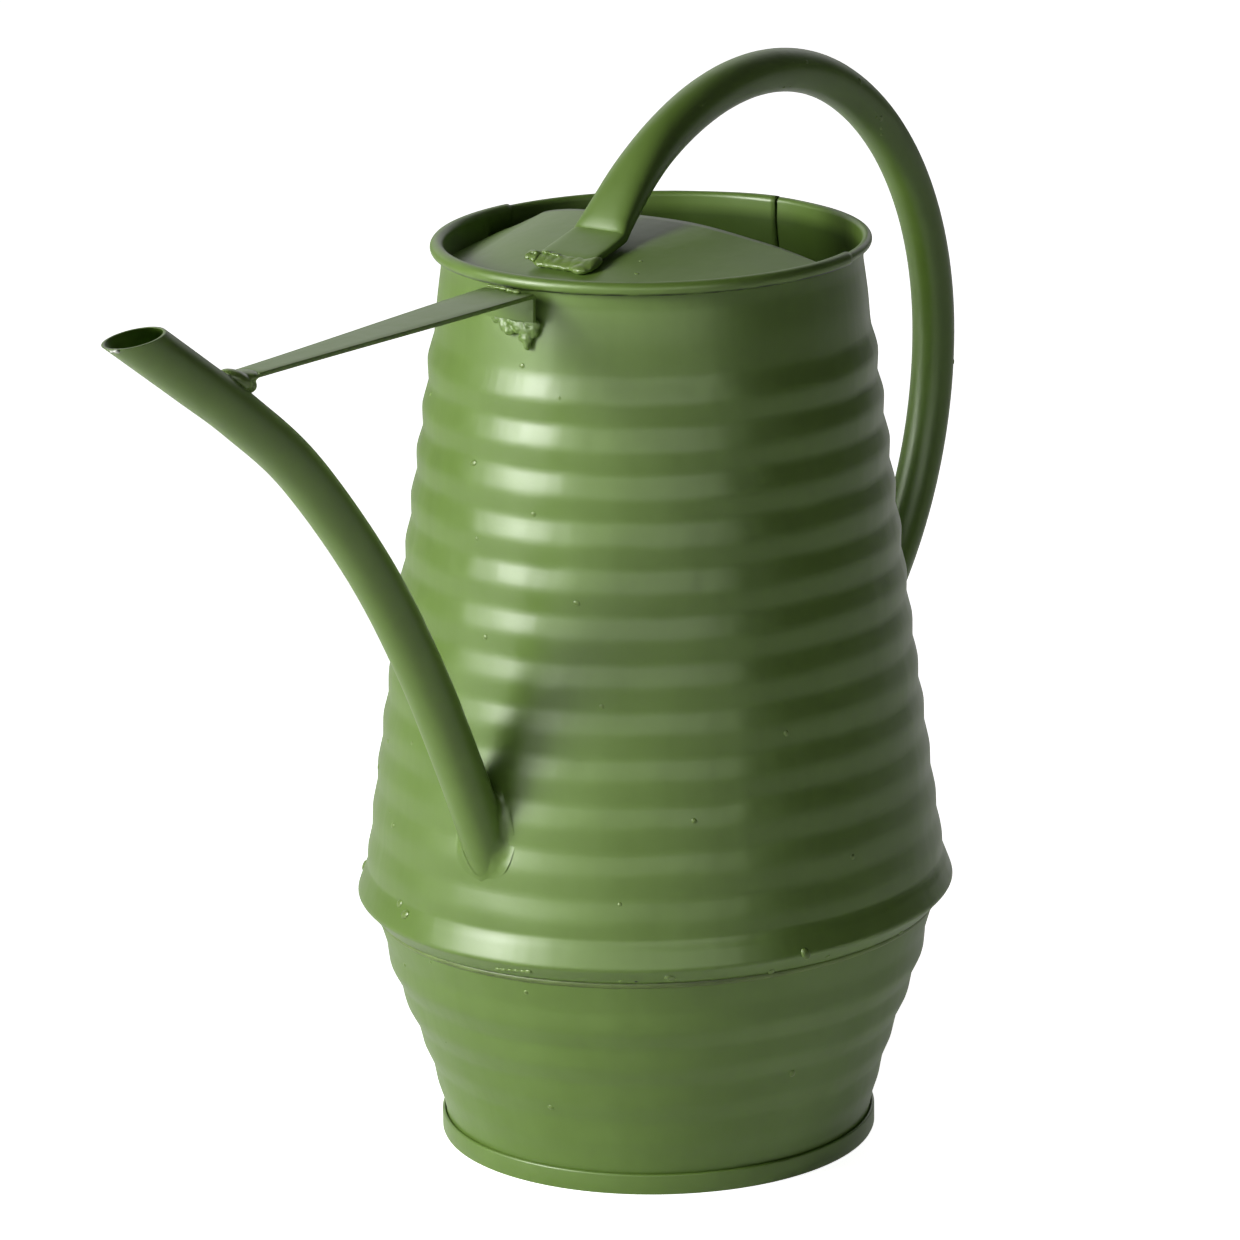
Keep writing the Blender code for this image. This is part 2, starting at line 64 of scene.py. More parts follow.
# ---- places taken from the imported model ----
foot_low, foot_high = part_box("foot_band")
wire_low, wire_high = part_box("rim_wire")
spout_low, spout_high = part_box("spout_tube")
AXIS_X = (foot_low.x + foot_high.x) / 2
WIRE = 0.00095                                    # radius of the wire in the rim
RIM_Z = (wire_low.z + wire_high.z) / 2
RIM_RADIUS = (wire_high.x - wire_low.x) / 2 - WIRE

# ---- sizes of the sheet work ----
SHEET = 0.0005
CURL_FACE = 0.00115                               # radius of the sheet curled round it
NECK_Z, NECK_RADIUS = 0.2985, 0.0698
CONE_FOOT_Z, CONE_FOOT_RADIUS = 0.0963, 0.0970
RIB_PITCH, RIB_TOP_Z, RIB_HEIGHT = 0.01525, 0.2693, 0.00072
RIB_ROUND = 0.07                                  # of the pitch: how softly a crest turns over
RIB_SLOPE = 4.0                                   # a crest of 1 falls to a crease of -1 over half a pitch
CONE_WOBBLE = BOWL_WOBBLE = 0.0030                # how far the handmade ribs stray up and down
LIP_Z, LIP_RADIUS, SHOULDER_SWELL = 0.0812, 0.0953, 0.0046
SHOULDER_SOFTNESS = 0.012                         # how softly the bead turns over at its crest
SHOULDER_CREST = 0.37                             # of the bead's height, from the lip
COLLAR_RADIUS = LIP_RADIUS - SHEET - 0.0003
FOOT_TOP_Z, FOOT_RADIUS = 0.0080, 0.0722
LAP = math.radians(5)
COVER_SHEET = 0.00045
COVER_FLANGE = 0.0023                             # radius of the flange rolled over that curl
COVER_WALL = RIM_RADIUS - COVER_FLANGE
SPOUT_RADIUS, SPOUT_WALL, MOUTH_Z, MOUTH_SLOPE = 0.0078, 0.0008, 0.3233, 0.09
HANDLE_RADIUS = 0.0074
FLOOR_Z = cad_low.z

SMOOTH = {"interpolation_type": "SMOOTHSTEP"}

# ---- strength of what lights the can besides the lamps ----
FLOOR_SHINE = 0.28
ROOM_LIGHT, SWEEP_LIGHT, SWEEP_SHINE = 0.05, 0.28, 0.85


def at(ahead, z, side=0.0):
    return Vector((AXIS_X - ahead, side, z))


def round_axis(radius, turn, z):
    return Vector((AXIS_X - radius * math.cos(turn), radius * math.sin(turn), z))


def ease(low, high, value):
    part = min(max((value - low) / (high - low), 0.0), 1.0)
    return part * part * (3.0 - 2.0 * part)


def through(points, steps):
    """A smooth curve through given points: uniform Catmull-Rom."""
    points = [Vector(point) for point in points]
    ends = [2 * points[0] - points[1]] + points + [2 * points[-1] - points[-2]]
    curve = []
    for i in range(1, len(ends) - 2):
        before, a, b, after = ends[i - 1:i + 3]
        for step in range(steps):
            t = step / steps
            curve.append(0.5 * (2 * a + (b - before) * t + (2 * before - 5 * a + 4 * b - after) * t ** 2
                    + (3 * a - before - 3 * b + after) * t ** 3))
    return curve + [points[-1]]


# ---- the camera ----
CAMERA_TURN = math.radians(-53)
CAMERA_BACK, CAMERA_HEIGHT = 2.21895, 0.79942
CAMERA_DIP, CAMERA_YAW, CAMERA_ROLL = 0.273428, -0.00477191, -0.0152932
TURNED = Matrix.Rotation(CAMERA_TURN, 3, "Z")
LEAN_WAY = TURNED @ Vector((1.0, 0.0, 0.0))       # the handmade can leans a little this way
LIP_SLOPE, SLOPE_LOST, MOUTH_DRIFT = 0.0160, 0.0425, 0.0018    # rise over run, lost per metre up, metres


def place_camera():
    ahead = Vector((math.sin(CAMERA_YAW) * math.cos(CAMERA_DIP), math.cos(CAMERA_YAW) * math.cos(CAMERA_DIP),
            -math.sin(CAMERA_DIP)))
    level = Vector((math.cos(CAMERA_YAW), -math.sin(CAMERA_YAW), 0.0))
    above = level.cross(ahead)
    right = math.cos(CAMERA_ROLL) * level + math.sin(CAMERA_ROLL) * above
    up = math.cos(CAMERA_ROLL) * above - math.sin(CAMERA_ROLL) * level
    axes = Matrix((TURNED @ right, TURNED @ up, TURNED @ -ahead)).transposed()
    lens = bpy.data.cameras.new("studio_camera")
    lens.lens = 200.235
    lens.sensor_width = 36.0
    lens.clip_start, lens.clip_end = 0.1, 50.0
    camera = add_object("studio_camera", lens)
    place = TURNED @ Vector((0.0, -CAMERA_BACK, CAMERA_HEIGHT)) + Vector((AXIS_X, 0.0, 0.0))
    camera.matrix_world = Matrix.Translation(place) @ axes.to_4x4()
    bpy.context.scene.camera = camera


# ---- small tools ----
def wire(tree, kind, feeds=None, **settings):
    """Adds a node, sets what it is told to, and links or fills its inputs. A bare kind is a shader node."""
    node = tree.nodes.new(kind if "Node" in kind else "ShaderNode" + kind)
    for key, value in settings.items():
        setattr(node, key, value)
    for key, value in (feeds or {}).items():
        socket = node.inputs[key]
        if isinstance(value, bpy.types.Node):
            value = value.outputs[0]
        if isinstance(value, bpy.types.NodeSocket):
            tree.links.new(value, socket)
        else:
            socket.default_value = value
    return node


def new_tree(name, inputs, output):
    tree = bpy.data.node_groups.new(name, "GeometryNodeTree")
    for label, kind, value in inputs:
        socket = tree.interface.new_socket(label, in_out="INPUT", socket_type="NodeSocket" + kind)
        if value is not None:
            socket.default_value = value
    tree.interface.new_socket(output, in_out="OUTPUT", socket_type="NodeSocketGeometry")
    return tree


def colour(code):
    """sRGB hex to the linear colour that a shader takes."""
    parts = [int(code[i:i + 2], 16) / 255 for i in (0, 2, 4)]
    return (*[part / 12.92 if part <= 0.04045 else ((part + 0.055) / 1.055) ** 2.4 for part in parts], 1.0)


def mesh_from(name, points, faces=(), edges=()):
    mesh = bpy.data.meshes.new(name)
    mesh.from_pydata([tuple(point) for point in points], list(edges), list(faces))
    mesh.update()
    return mesh


def add_object(name, mesh):
    obj = bpy.data.objects.new(name, mesh)
    bpy.context.scene.collection.objects.link(obj)
    return obj


def baked(obj, name):
    """The object's evaluated shape as a plain mesh; the object itself is dropped."""
    graph = bpy.context.evaluated_depsgraph_get()
    mesh = bpy.data.meshes.new_from_object(obj.evaluated_get(graph))
    mesh.name = name
    bpy.data.objects.remove(obj, do_unlink=True)
    return mesh


def quads(rows, per, rows_close=False, row_closes=False):
    """Faces over a grid of points laid row after row; either way it may close on itself."""
    faces = []
    for i in range(rows if rows_close else rows - 1):
        here, there = i * per, (i + 1) % rows * per
        for j in range(per if row_closes else per - 1):
            k = (j + 1) % per
            faces.append((here + j, here + k, there + k, there + j))
    return faces


def facing_out(mesh):
    work = bmesh.new()
    work.from_mesh(mesh)
    bmesh.ops.recalc_face_normals(work, faces=work.faces)
    work.to_mesh(mesh)
    work.free()
    return mesh


def soften(mesh, angle=40):
    mesh.shade_smooth()
    mesh.set_sharp_from_angle(angle=math.radians(angle))
    return mesh


def lean(mesh):
    """The can is a little out of true: its mouth sits to one side and its shoulder slopes."""
    for vertex in mesh.vertices:
        place = vertex.co
        along = (place - Vector((AXIS_X, 0.0, 0.0))).dot(LEAN_WAY)
        slope = min(place.z / LIP_Z * LIP_SLOPE, LIP_SLOPE - (place.z - LIP_Z) * SLOPE_LOST)
        drift = MOUTH_DRIFT * ease(0.11, RIM_Z, place.z)
        vertex.co = place + LEAN_WAY * drift + Vector((0.0, 0.0, along * slope * ease(0.008, 0.05, place.z)))
    mesh.update()
    return mesh


def sheet(obj, thickness):
    wall = obj.modifiers.new("sheet", "SOLIDIFY")
    wall.thickness = thickness
    wall.offset = -1.0
    wall.use_even_offset = True


def rounded(obj, name, width):
    edge = obj.modifiers.new(name, "BEVEL")
    edge.width = width
    edge.segments = 2
    edge.angle_limit = math.radians(50)


def finish_piece(obj, material, slot, *stands_for):
    obj.data.materials.clear()
    obj.data.materials.append(material)
    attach(obj, "root")
    if stands_for:
        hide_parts(*stands_for)
    return obj


# ---- finishes ----
def new_material(name):
    material = bpy.data.materials.new(name)
    material.use_nodes = True
    return material, material.node_tree, material.node_tree.nodes["Principled BSDF"]


def enamel(name, body, worn, roughness, peel, nibs, inside=None):
    """Stoved enamel sprayed on tinplate: satin, slightly uneven in tone, with orange peel about 1.5 mm
    across, faint sags down the walls and here and there a grain of dust under the coat."""
    material, tree, shader = new_material(name)
    add = partial(wire, tree)
    place = add("TexCoord").outputs["Object"]
    clouds = add("TexNoise", {"Vector": place, "Scale": 26.0, "Detail": 4.0, "Roughness": 0.6})
    drawn_out = add("Mapping", {"Vector": place, "Scale": (90.0, 90.0, 9.0)})
    sags = add("TexNoise", {"Vector": drawn_out, "Scale": 1.0, "Detail": 2.0})
    tone = add("Math", {0: sags, 1: 0.35, 2: clouds}, operation="MULTIPLY_ADD")
    tone_range = add("MapRange", {"Value": tone, "From Min": 0.45, "From Max": 0.90})
    coat = add("Mix", {0: tone_range, 6: colour(body), 7: colour(worn)}, data_type="RGBA")
    # painted shade: where a piece marks the band under the rim, the coat is multiplied towards dark olive in
    # ragged patches
    trough = add("Attribute", attribute_name="trough").outputs["Fac"]
    skin_wide = add("TexNoise", {"Vector": place, "Scale": 140.0, "Detail": 2.0})
    patchy = add("MapRange", {"Value": skin_wide, "From Min": 0.35, "From Max": 0.60, "To Min": 0.35,
            "To Max": 0.95})
    rim_shade_share = add("Math", {0: trough, 1: patchy}, operation="MULTIPLY")
    rim_shaded = add("Mix", {0: rim_shade_share, 6: coat.outputs[2], 7: colour("46513a")}, data_type="RGBA",
            blend_type="MULTIPLY")
    specks = add("TexVoronoi", {"Vector": place, "Scale": 160.0, "Randomness": 1.0})
    dome = add("MapRange", {"Value": specks.outputs["Distance"], "From Min": 0.03, "From Max": 0.09,
            "To Min": 1.0, "To Max": 0.0}, **SMOOTH)
    chosen = add("Math", {0: specks.outputs["Color"], 1: 1.0 - nibs}, operation="GREATER_THAN")
    grain = add("Math", {0: dome, 1: chosen}, operation="MULTIPLY")
    speckled = add("Mix", {0: add("Math", {0: grain, 1: 0.4}, operation="MULTIPLY"), 6: rim_shaded.outputs[2],
            7: colour("a9bd84")}, data_type="RGBA")
    # painted shade on the inner faces below the rim, when a shade colour is given
    shown = painted_shade_inside(tree, place, speckled.outputs[2], inside) if inside else speckled.outputs[2]
    tree.links.new(shown, shader.inputs["Base Color"])
    rubbed = add("MapRange", {"Value": clouds, "From Min": 0.3, "From Max": 0.7, "To Min": roughness - 0.03,
            "To Max": roughness + 0.04})
    tree.links.new(rubbed.outputs[0], shader.inputs["Roughness"])
    skin = add("TexNoise", {"Vector": place, "Scale": 650.0, "Detail": 1.0})
    orange_peel = add("Bump", {"Strength": 1.0, "Distance": peel, "Height": skin})
    runs = add("Bump", {"Strength": 1.0, "Distance": 0.00025, "Height": sags, "Normal": orange_peel})
    bumps = add("Bump", {"Strength": 1.0, "Distance": 0.00018, "Height": grain, "Normal": runs})
    tree.links.new(bumps.outputs[0], shader.inputs["Normal"])
    shader.inputs["IOR"].default_value = 1.5
    shader.inputs["Metallic"].default_value = 0.0
    return material


def painted_shade_inside(tree, place, coat, inside):
    """Painted shade: the coat is darkened on the faces that look in at the can's axis, below the rolled rim.
    """
    add = partial(wire, tree)
    from_axis = add("VectorMath", {0: place, 1: (AXIS_X, 0.0, 0.0)}, operation="SUBTRACT")
    level = add("VectorMath", {0: from_axis, 1: (1.0, 1.0, 0.0)}, operation="MULTIPLY")
    normal = add("NewGeometry").outputs["Normal"]
    facing = add("VectorMath", {0: normal, 1: level}, operation="DOT_PRODUCT").outputs["Value"]
    inward = add("Math", {0: facing, 1: 0.0}, operation="LESS_THAN")
    height = add("SeparateXYZ", {"Vector": place}).outputs["Z"]
    below = add("MapRange", {"Value": height, "From Min": RIM_Z - 0.0060, "From Max": RIM_Z - 0.0020,
            "To Min": 1.0, "To Max": 0.0})
    share = add("Math", {0: inward, 1: below}, operation="MULTIPLY")
    return add("Mix", {0: share, 6: coat, 7: colour(inside)}, data_type="RGBA",
            blend_type="MULTIPLY").outputs[2]


def tinned_wire():
    """Tinned steel wire: dull grey metal with fine drawing lines; the rolled rim hides it."""
    material, tree, shader = new_material("dull tinned wire")
    add = partial(wire, tree)
    place = add("TexCoord").outputs["Object"]
    lines = add("TexNoise", {"Vector": place, "Scale": 900.0, "Detail": 2.0})
    bloom = add("Mix", {0: lines, 6: colour("a8a9a4"), 7: colour("7d7e79")}, data_type="RGBA")
    tree.links.new(bloom.outputs[2], shader.inputs["Base Color"])
    rough = add("MapRange", {"Value": lines, "To Min": 0.35, "To Max": 0.6})
    tree.links.new(rough.outputs[0], shader.inputs["Roughness"])
    shader.inputs["Metallic"].default_value = 1.0
    return material


def studio_paper():
    """Matt white paper sweep, bright enough to print as white."""
    material, tree, shader = new_material("white paper")
    add = partial(wire, tree)
    place = add("TexCoord").outputs["Object"]
    fibres = add("TexNoise", {"Vector": place, "Scale": 300.0, "Detail": 2.0})
    paper = add("Mix", {0: fibres, 6: colour("f4f4f2"), 7: colour("fafaf9")}, data_type="RGBA")
    tree.links.new(paper.outputs[2], shader.inputs["Base Color"])
    shader.inputs["Roughness"].default_value = 0.9
    glow = add("Emission", {"Color": (1.0, 1.0, 1.0, 1.0), "Strength": 0.93})
    lifted = add("AddShader", {0: shader, 1: glow})
    path = add("LightPath")
    shiny = add("Math", {0: path.outputs["Is Glossy Ray"], 1: FLOOR_SHINE}, operation="MULTIPLY")
    white = add("Math", {0: path.outputs["Is Camera Ray"], 1: shiny}, operation="MAXIMUM")
    both = add("MixShader", {0: white, 1: shader, 2: lifted})
    tree.links.new(both.outputs[0], tree.nodes["Material Output"].inputs["Surface"])
    return material


# ---- turned and ribbed sheet ----
def turning_lathe():
    """Geometry nodes that turn an outline into sheet. Named inputs give its turn, its ribs and its lap."""
    tree = new_tree("turning_lathe", (("Outline", "Geometry", None), ("Columns", "Int", 216),
            ("First Turn", "Float", 0.0), ("Last Turn", "Float", 6.2832), ("Rib Top", "Float", 0.0),
            ("Rib Pitch", "Float", 0.015), ("Rib Count", "Float", 0.0), ("Rib Height", "Float", 0.0),
            ("Rib Fade", "Float", 0.0), ("Lap Step", "Float", 0.0), ("Wobble", "Float", 0.0),
            ("Curl Rows", "Float", 0.0), ("Curl Growth", "Float", 0.0),
            ("Curl Middle", "Vector", (0.0, 0.0, 0.0)), ("Finish", "Material", None)), "Sheet")
    add = partial(wire, tree)
    given = tree.nodes.new("NodeGroupInput").outputs
    rows = add("GeometryNodeAttributeDomainSize", {"Geometry": given["Outline"]}).outputs["Point Count"]
    grid = add("GeometryNodeMeshGrid", {"Size X": 1.0, "Size Y": 1.0, "Vertices X": given["Columns"],
            "Vertices Y": rows})
    spot = add("SeparateXYZ", {0: add("GeometryNodeInputPosition")})
    last_row = add("Math", {0: rows, 1: 1.0}, operation="SUBTRACT")
    down = add("Math", {0: spot.outputs["Y"], 1: 0.5}, operation="ADD")
    row = add("Math", {0: add("Math", {0: down, 1: last_row}, operation="MULTIPLY")}, operation="ROUND")
    outline_place = add("GeometryNodeInputPosition")
    picked = add("GeometryNodeSampleIndex", {"Geometry": given["Outline"], "Value": outline_place,
            "Index": row}, data_type="FLOAT_VECTOR")
    column = add("Math", {0: spot.outputs["X"], 1: 0.5}, operation="ADD")
    turn = add("MapRange", {"Value": column, "To Min": given["First Turn"], "To Max": given["Last Turn"]})
    # near the lap's inner end the curl is wrapped over the first turn of the curl, so it grows
    growing = add("MapRange", {"Value": column, "From Min": 0.93, "From Max": 0.995, "To Min": 1.0,
            "To Max": given["Curl Growth"]}, **SMOOTH)
    from_middle = add("VectorMath", {0: picked, 1: given["Curl Middle"]}, operation="SUBTRACT")
    grown = add("VectorMath", {0: from_middle, 1: growing, 2: given["Curl Middle"]}, operation="MULTIPLY_ADD")
    in_curl = add("Math", {0: row, 1: given["Curl Rows"]}, operation="LESS_THAN")
    outline = add("Mix", {0: in_curl, 4: picked, 5: grown}, data_type="VECTOR")
    flat = add("SeparateXYZ", {0: outline.outputs[1]})
    radius, height = flat.outputs["X"], flat.outputs["Z"]
    # ribs: two flat slopes with a rounded crest and a crease between them, fading in above the first
    cosine = add("Math", {0: turn}, operation="COSINE")
    sine = add("Math", {0: turn}, operation="SINE")
    round_can = add("CombineXYZ", {"X": cosine, "Y": sine, "Z": add("Math", {0: height, 1: 9.0},
            operation="MULTIPLY")})
    uneven = add("TexNoise", {"Vector": round_can, "Scale": 3.4, "Detail": 2.0, "Roughness": 0.6})
    strayed = add("Math", {0: uneven, 1: 0.5}, operation="SUBTRACT")
    shifted = add("Math", {0: strayed, 1: given["Wobble"], 2: height}, operation="MULTIPLY_ADD")
    fall = add("Math", {0: given["Rib Top"], 1: shifted}, operation="SUBTRACT")
    phase = add("Math", {0: fall, 1: given["Rib Pitch"]}, operation="DIVIDE")
    past = add("Math", {0: given["Rib Count"], 1: 0.5}, operation="SUBTRACT")
    held = add("Clamp", {"Value": phase, "Min": -0.5, "Max": past})
    nearest = add("Math", {0: held}, operation="ROUND")
    off_crest = add("Math", {0: held, 1: nearest}, operation="SUBTRACT")
    squared = add("Math", {0: off_crest, 1: off_crest, 2: RIB_ROUND ** 2}, operation="MULTIPLY_ADD")
    slope = add("Math", {0: squared}, operation="SQRT")
    swell = add("Math", {0: slope, 1: -RIB_SLOPE, 2: 1.0 + RIB_SLOPE * RIB_ROUND}, operation="MULTIPLY_ADD")
    rise = add("MapRange", {"Value": phase, "From Min": -1.4, "From Max": -0.5}, **SMOOTH)
    sink = add("MapRange", {"Value": add("Math", {0: phase, 1: past}, operation="SUBTRACT"), "From Min": -0.2,
            "From Max": 0.1, "To Min": 1.0, "To Max": 0.0}, **SMOOTH)
    faded = add("Math", {0: nearest, 1: given["Rib Fade"], 2: 1.0}, operation="MULTIPLY_ADD")
    reach = add("Math", {0: rise, 1: sink}, operation="MULTIPLY")
    strength = add("Math", {0: reach, 1: faded}, operation="MULTIPLY")
    rib = add("Math", {0: swell, 1: strength}, operation="MULTIPLY")
    dent = add("Math", {0: add("Math", {0: strayed, 1: given["Wobble"]}, operation="MULTIPLY"), 1: -0.22},
            operation="MULTIPLY")
    denting = add("Math", {0: dent, 1: reach, 2: radius}, operation="MULTIPLY_ADD")
    ribbed = add("Math", {0: rib, 1: given["Rib Height"], 2: denting}, operation="MULTIPLY_ADD")
    # the first few degrees lie outside the last ones
    outer = add("MapRange", {"Value": column, "From Min": 0.012, "From Max": 0.05, "To Min": 1.0,
            "To Max": 0.0}, **SMOOTH)
    stepped = add("Math", {0: outer, 1: given["Lap Step"], 2: ribbed}, operation="MULTIPLY_ADD")
    place = add("CombineXYZ", {"X": add("Math", {0: stepped,
            1: add("Math", {0: cosine, 1: -1.0}, operation="MULTIPLY")}, operation="MULTIPLY"),
            "Y": add("Math", {0: stepped, 1: sine}, operation="MULTIPLY"), "Z": height})
    # painted shade: a band of wall just under the rolled rim, where the bead shades it, is marked so the
    # finish darkens it
    under_rim = add("MapRange", {"Value": height, "From Min": RIM_Z - 0.0070, "From Max": RIM_Z - 0.0050},
            **SMOOTH)
    trough = add("Math", {0: under_rim, 1: add("Math", {0: height, 1: RIM_Z - 0.0015},
            operation="LESS_THAN")}, operation="MULTIPLY")
    marked = add("GeometryNodeStoreNamedAttribute", {"Geometry": grid.outputs["Mesh"], "Name": "trough",
            "Value": trough}, data_type="FLOAT", domain="POINT")
    moved = add("GeometryNodeSetPosition", {"Geometry": marked, "Position": place})
    joined = add("GeometryNodeMergeByDistance", {"Geometry": moved, "Distance": 0.000005})
    smooth = add("GeometryNodeSetShadeSmooth", {"Geometry": joined, "Shade Smooth": True})
    real = add("GeometryNodeRealizeInstances", {"Geometry": smooth})
    finished = add("GeometryNodeSetMaterial", {"Geometry": real, "Material": given["Finish"]})
    add("NodeGroupOutput", {0: finished})
    return tree


def turned(name, outline, lathe, **inputs):
    """Turns a radius-height outline on the lathe, and hands back a plain mesh in its place."""
    edges = [(i, i + 1) for i in range(len(outline) - 1)]
    blank = add_object(name, mesh_from(name, [(radius, 0.0, z) for radius, z in outline], edges=edges))
    cut = blank.modifiers.new("lathe", "NODES")
    cut.node_group = lathe
    for item in lathe.interface.items_tree:
        wanted = item.name.lower().replace(" ", "_")
        if wanted in inputs:
            cut[item.identifier] = inputs[wanted]
    mesh = baked(blank, name)
    mesh.transform(Matrix.Translation((AXIS_X, 0.0, 0.0)))
    return mesh


def arc(radius, z, size, start, end, steps):
    angles = [math.radians(start + (end - start) * i / steps) for i in range(steps + 1)]
    return [(radius + size * math.cos(angle), z + size * math.sin(angle)) for angle in angles]


def cone_radius(z):
    return NECK_RADIUS + (CONE_FOOT_RADIUS - NECK_RADIUS) * (NECK_Z - z) / (NECK_Z - CONE_FOOT_Z)


def shoulder_radius(part):
    """The bead at the cone's foot: part runs from 0 at the lip to 1 at the cone."""
    straight = LIP_RADIUS + (CONE_FOOT_RADIUS - LIP_RADIUS) * part
    below, above = part / SHOULDER_CREST, (1.0 - part) / (1.0 - SHOULDER_CREST)
    return straight + SHOULDER_SWELL * (below + above - math.sqrt((below - above) ** 2
            + SHOULDER_SOFTNESS)) / 2


def upper_outline():
    curl = arc(RIM_RADIUS, RIM_Z, CURL_FACE, -120, 180, 24)
    steps = 10
    wall = []
    index = math.floor((RIB_TOP_Z - NECK_Z) / RIB_PITCH * steps)
    while True:
        z = RIB_TOP_Z - index * RIB_PITCH / steps
        if z <= CONE_FOOT_Z + 0.0002:
            break
        wall.append((cone_radius(z), z))
        index += 1
    shoulder = []
    for i in range(25):
        part = 1.0 - i / 24
        shoulder.append((shoulder_radius(part), LIP_Z + (CONE_FOOT_Z - LIP_Z) * part))
    return curl, curl + wall + shoulder


def bowl_radius(z):
    part = (z - FOOT_TOP_Z) / (LIP_Z - FOOT_TOP_Z)
    return FOOT_RADIUS + (COLLAR_RADIUS - FOOT_RADIUS) * part - 0.0008 * math.sin(2 * math.pi * part)


def lower_outline():
    points = [(COLLAR_RADIUS, 0.0880), (COLLAR_RADIUS, 0.0845), (COLLAR_RADIUS, LIP_Z)]
    count = 60
    points += [(bowl_radius(z), z) for z in (LIP_Z + (FOOT_TOP_Z - LIP_Z) * i / count for i in range(1,
            count + 1))]
    return points + [(FOOT_RADIUS, 0.0060), (FOOT_RADIUS, 0.0003)]


def body_radius(z):
    """The upper wall with its ribs, for what is soldered to it."""
    phase = (RIB_TOP_Z - z) / RIB_PITCH
    off_crest = phase - round(phase)
    slope = math.sqrt(off_crest * off_crest + RIB_ROUND ** 2) - RIB_ROUND
    rib = 1.0 - RIB_SLOPE * slope if phase > -0.5 else -ease(-1.4, -0.5, phase)
    return cone_radius(z) + RIB_HEIGHT * rib


def make_shells(lathe, coat):
    back = math.pi
    curl, outline = upper_outline()
    mesh = turned("ribbed_cone", outline, lathe, columns=216, first_turn=-back - LAP, last_turn=back,
            rib_top=RIB_TOP_Z, rib_pitch=RIB_PITCH, rib_count=12.0, rib_height=RIB_HEIGHT, rib_fade=-0.042,
            wobble=CONE_WOBBLE, lap_step=SHEET + 0.0002, curl_rows=float(len(curl)), curl_growth=1.35,
            curl_middle=(RIM_RADIUS, 0.0, RIM_Z), finish=coat)
    cone = add_object("ribbed_cone", lean(mesh))
    sheet(cone, SHEET)
    finish_piece(cone, coat, "green_enamel", "upper_shell")
    mesh = turned("ribbed_bowl", lower_outline(), lathe, columns=216, first_turn=-back - LAP, last_turn=back,
            rib_top=0.0620, rib_pitch=0.0146, rib_count=4.0, rib_height=0.00074, rib_fade=-0.19,
            wobble=BOWL_WOBBLE, lap_step=SHEET + 0.0001, finish=coat)
    bowl = add_object("ribbed_bowl", lean(mesh))
    sheet(bowl, SHEET)
    finish_piece(bowl, coat, "green_enamel", "lower_shell")
    return cone, bowl


def make_rings(lathe, coat, solder_coat, steel):
    whole = dict(columns=180, first_turn=-math.pi, last_turn=math.pi)
    hoop = arc(RIM_RADIUS, RIM_Z, WIRE, 180, -180, 14)
    core = add_object("wire_core", lean(turned("wire_core", hoop, lathe, finish=steel, **whole)))
    finish_piece(core, steel, "tinned_wire", "rim_wire")
    inner, outer, top = FOOT_RADIUS + 0.0003, FOOT_RADIUS + 0.0013, 0.0070
    band = [(inner, 0.0004), (inner, top - 0.0003), (inner + 0.0002, top), (outer - 0.0004, top),
            (outer - 0.0001, top - 0.0002), (outer, top - 0.0006), (outer, 0.0035), (outer, 0.0006),
            (outer - 0.0003, 0.0), (inner + 0.0003, 0.0), (inner, 0.0004)]
    ring = add_object("foot_ring", soften(turned("foot_ring", band, lathe, finish=coat, **whole), 50))
    finish_piece(ring, coat, "green_enamel", "foot_band")
    edge = FOOT_RADIUS - SHEET - 0.0003
    plate = [(0.0, 0.0060), (0.0300, 0.0060), (0.0600, 0.0060), (edge - 0.0009, 0.0060),
            (edge - 0.0003, 0.0058), (edge, 0.0051), (edge, 0.0006)]
    base = add_object("bottom_plate", soften(turned("bottom_plate", plate, lathe, finish=coat, **whole), 50))
    sheet(base, 0.0006)
    finish_piece(base, coat, "green_enamel", "base_plate")
    wall, top, low = COLLAR_RADIUS + 0.0001, LIP_Z - 0.0001, LIP_Z - 0.0022
    run = [(wall - 0.0003, top), (wall, top - 0.0002), (wall + 0.0001, top - 0.0007),
            (wall + 0.0001, top - 0.0013), (bowl_radius(low) + 0.00005, low), (wall - 0.0006, low),
            (wall - 0.0003, top)]
    mesh = turned("seam_solder", run, lathe, finish=solder_coat, **whole)
    for vertex in mesh.vertices:
        wave = noise.noise(vertex.co * 160.0)
        out = (vertex.co - Vector((AXIS_X, 0.0, vertex.co.z))).normalized()
        vertex.co += out * 0.00012 * wave
    seam = add_object("seam_solder", lean(soften(mesh, 60)))
    finish_piece(seam, solder_coat, "enamelled_solder", "shoulder_solder")


# ---- half cover ----
COVER_EDGE = ((-0.0690, 0.3066), (-0.0660, 0.3074), (-0.0540, 0.3100), (-0.0420, 0.3118), (-0.0220, 0.3142),
        (-0.0040, 0.3148), (0.0270, 0.3140), (0.0420, 0.3120), (0.0488, 0.3091), (0.0560, 0.3056),
        (0.0640, 0.3022), (0.0690, 0.2995))


def cover_edge(side):
    """Height of the cover's free edge, arched, and pressed well down at its +Y end."""
    route = cover_edge.route
    for (side_a, z_a), (side_b, z_b) in zip(route, route[1:]):
        if side_a <= side <= side_b:
            return z_a + (z_b - z_a) * (side - side_a) / (side_b - side_a)
    return route[0][1] if side < route[0][0] else route[-1][1]


cover_edge.route = [(point.x, point.y) for point in through(COVER_EDGE, 12)]


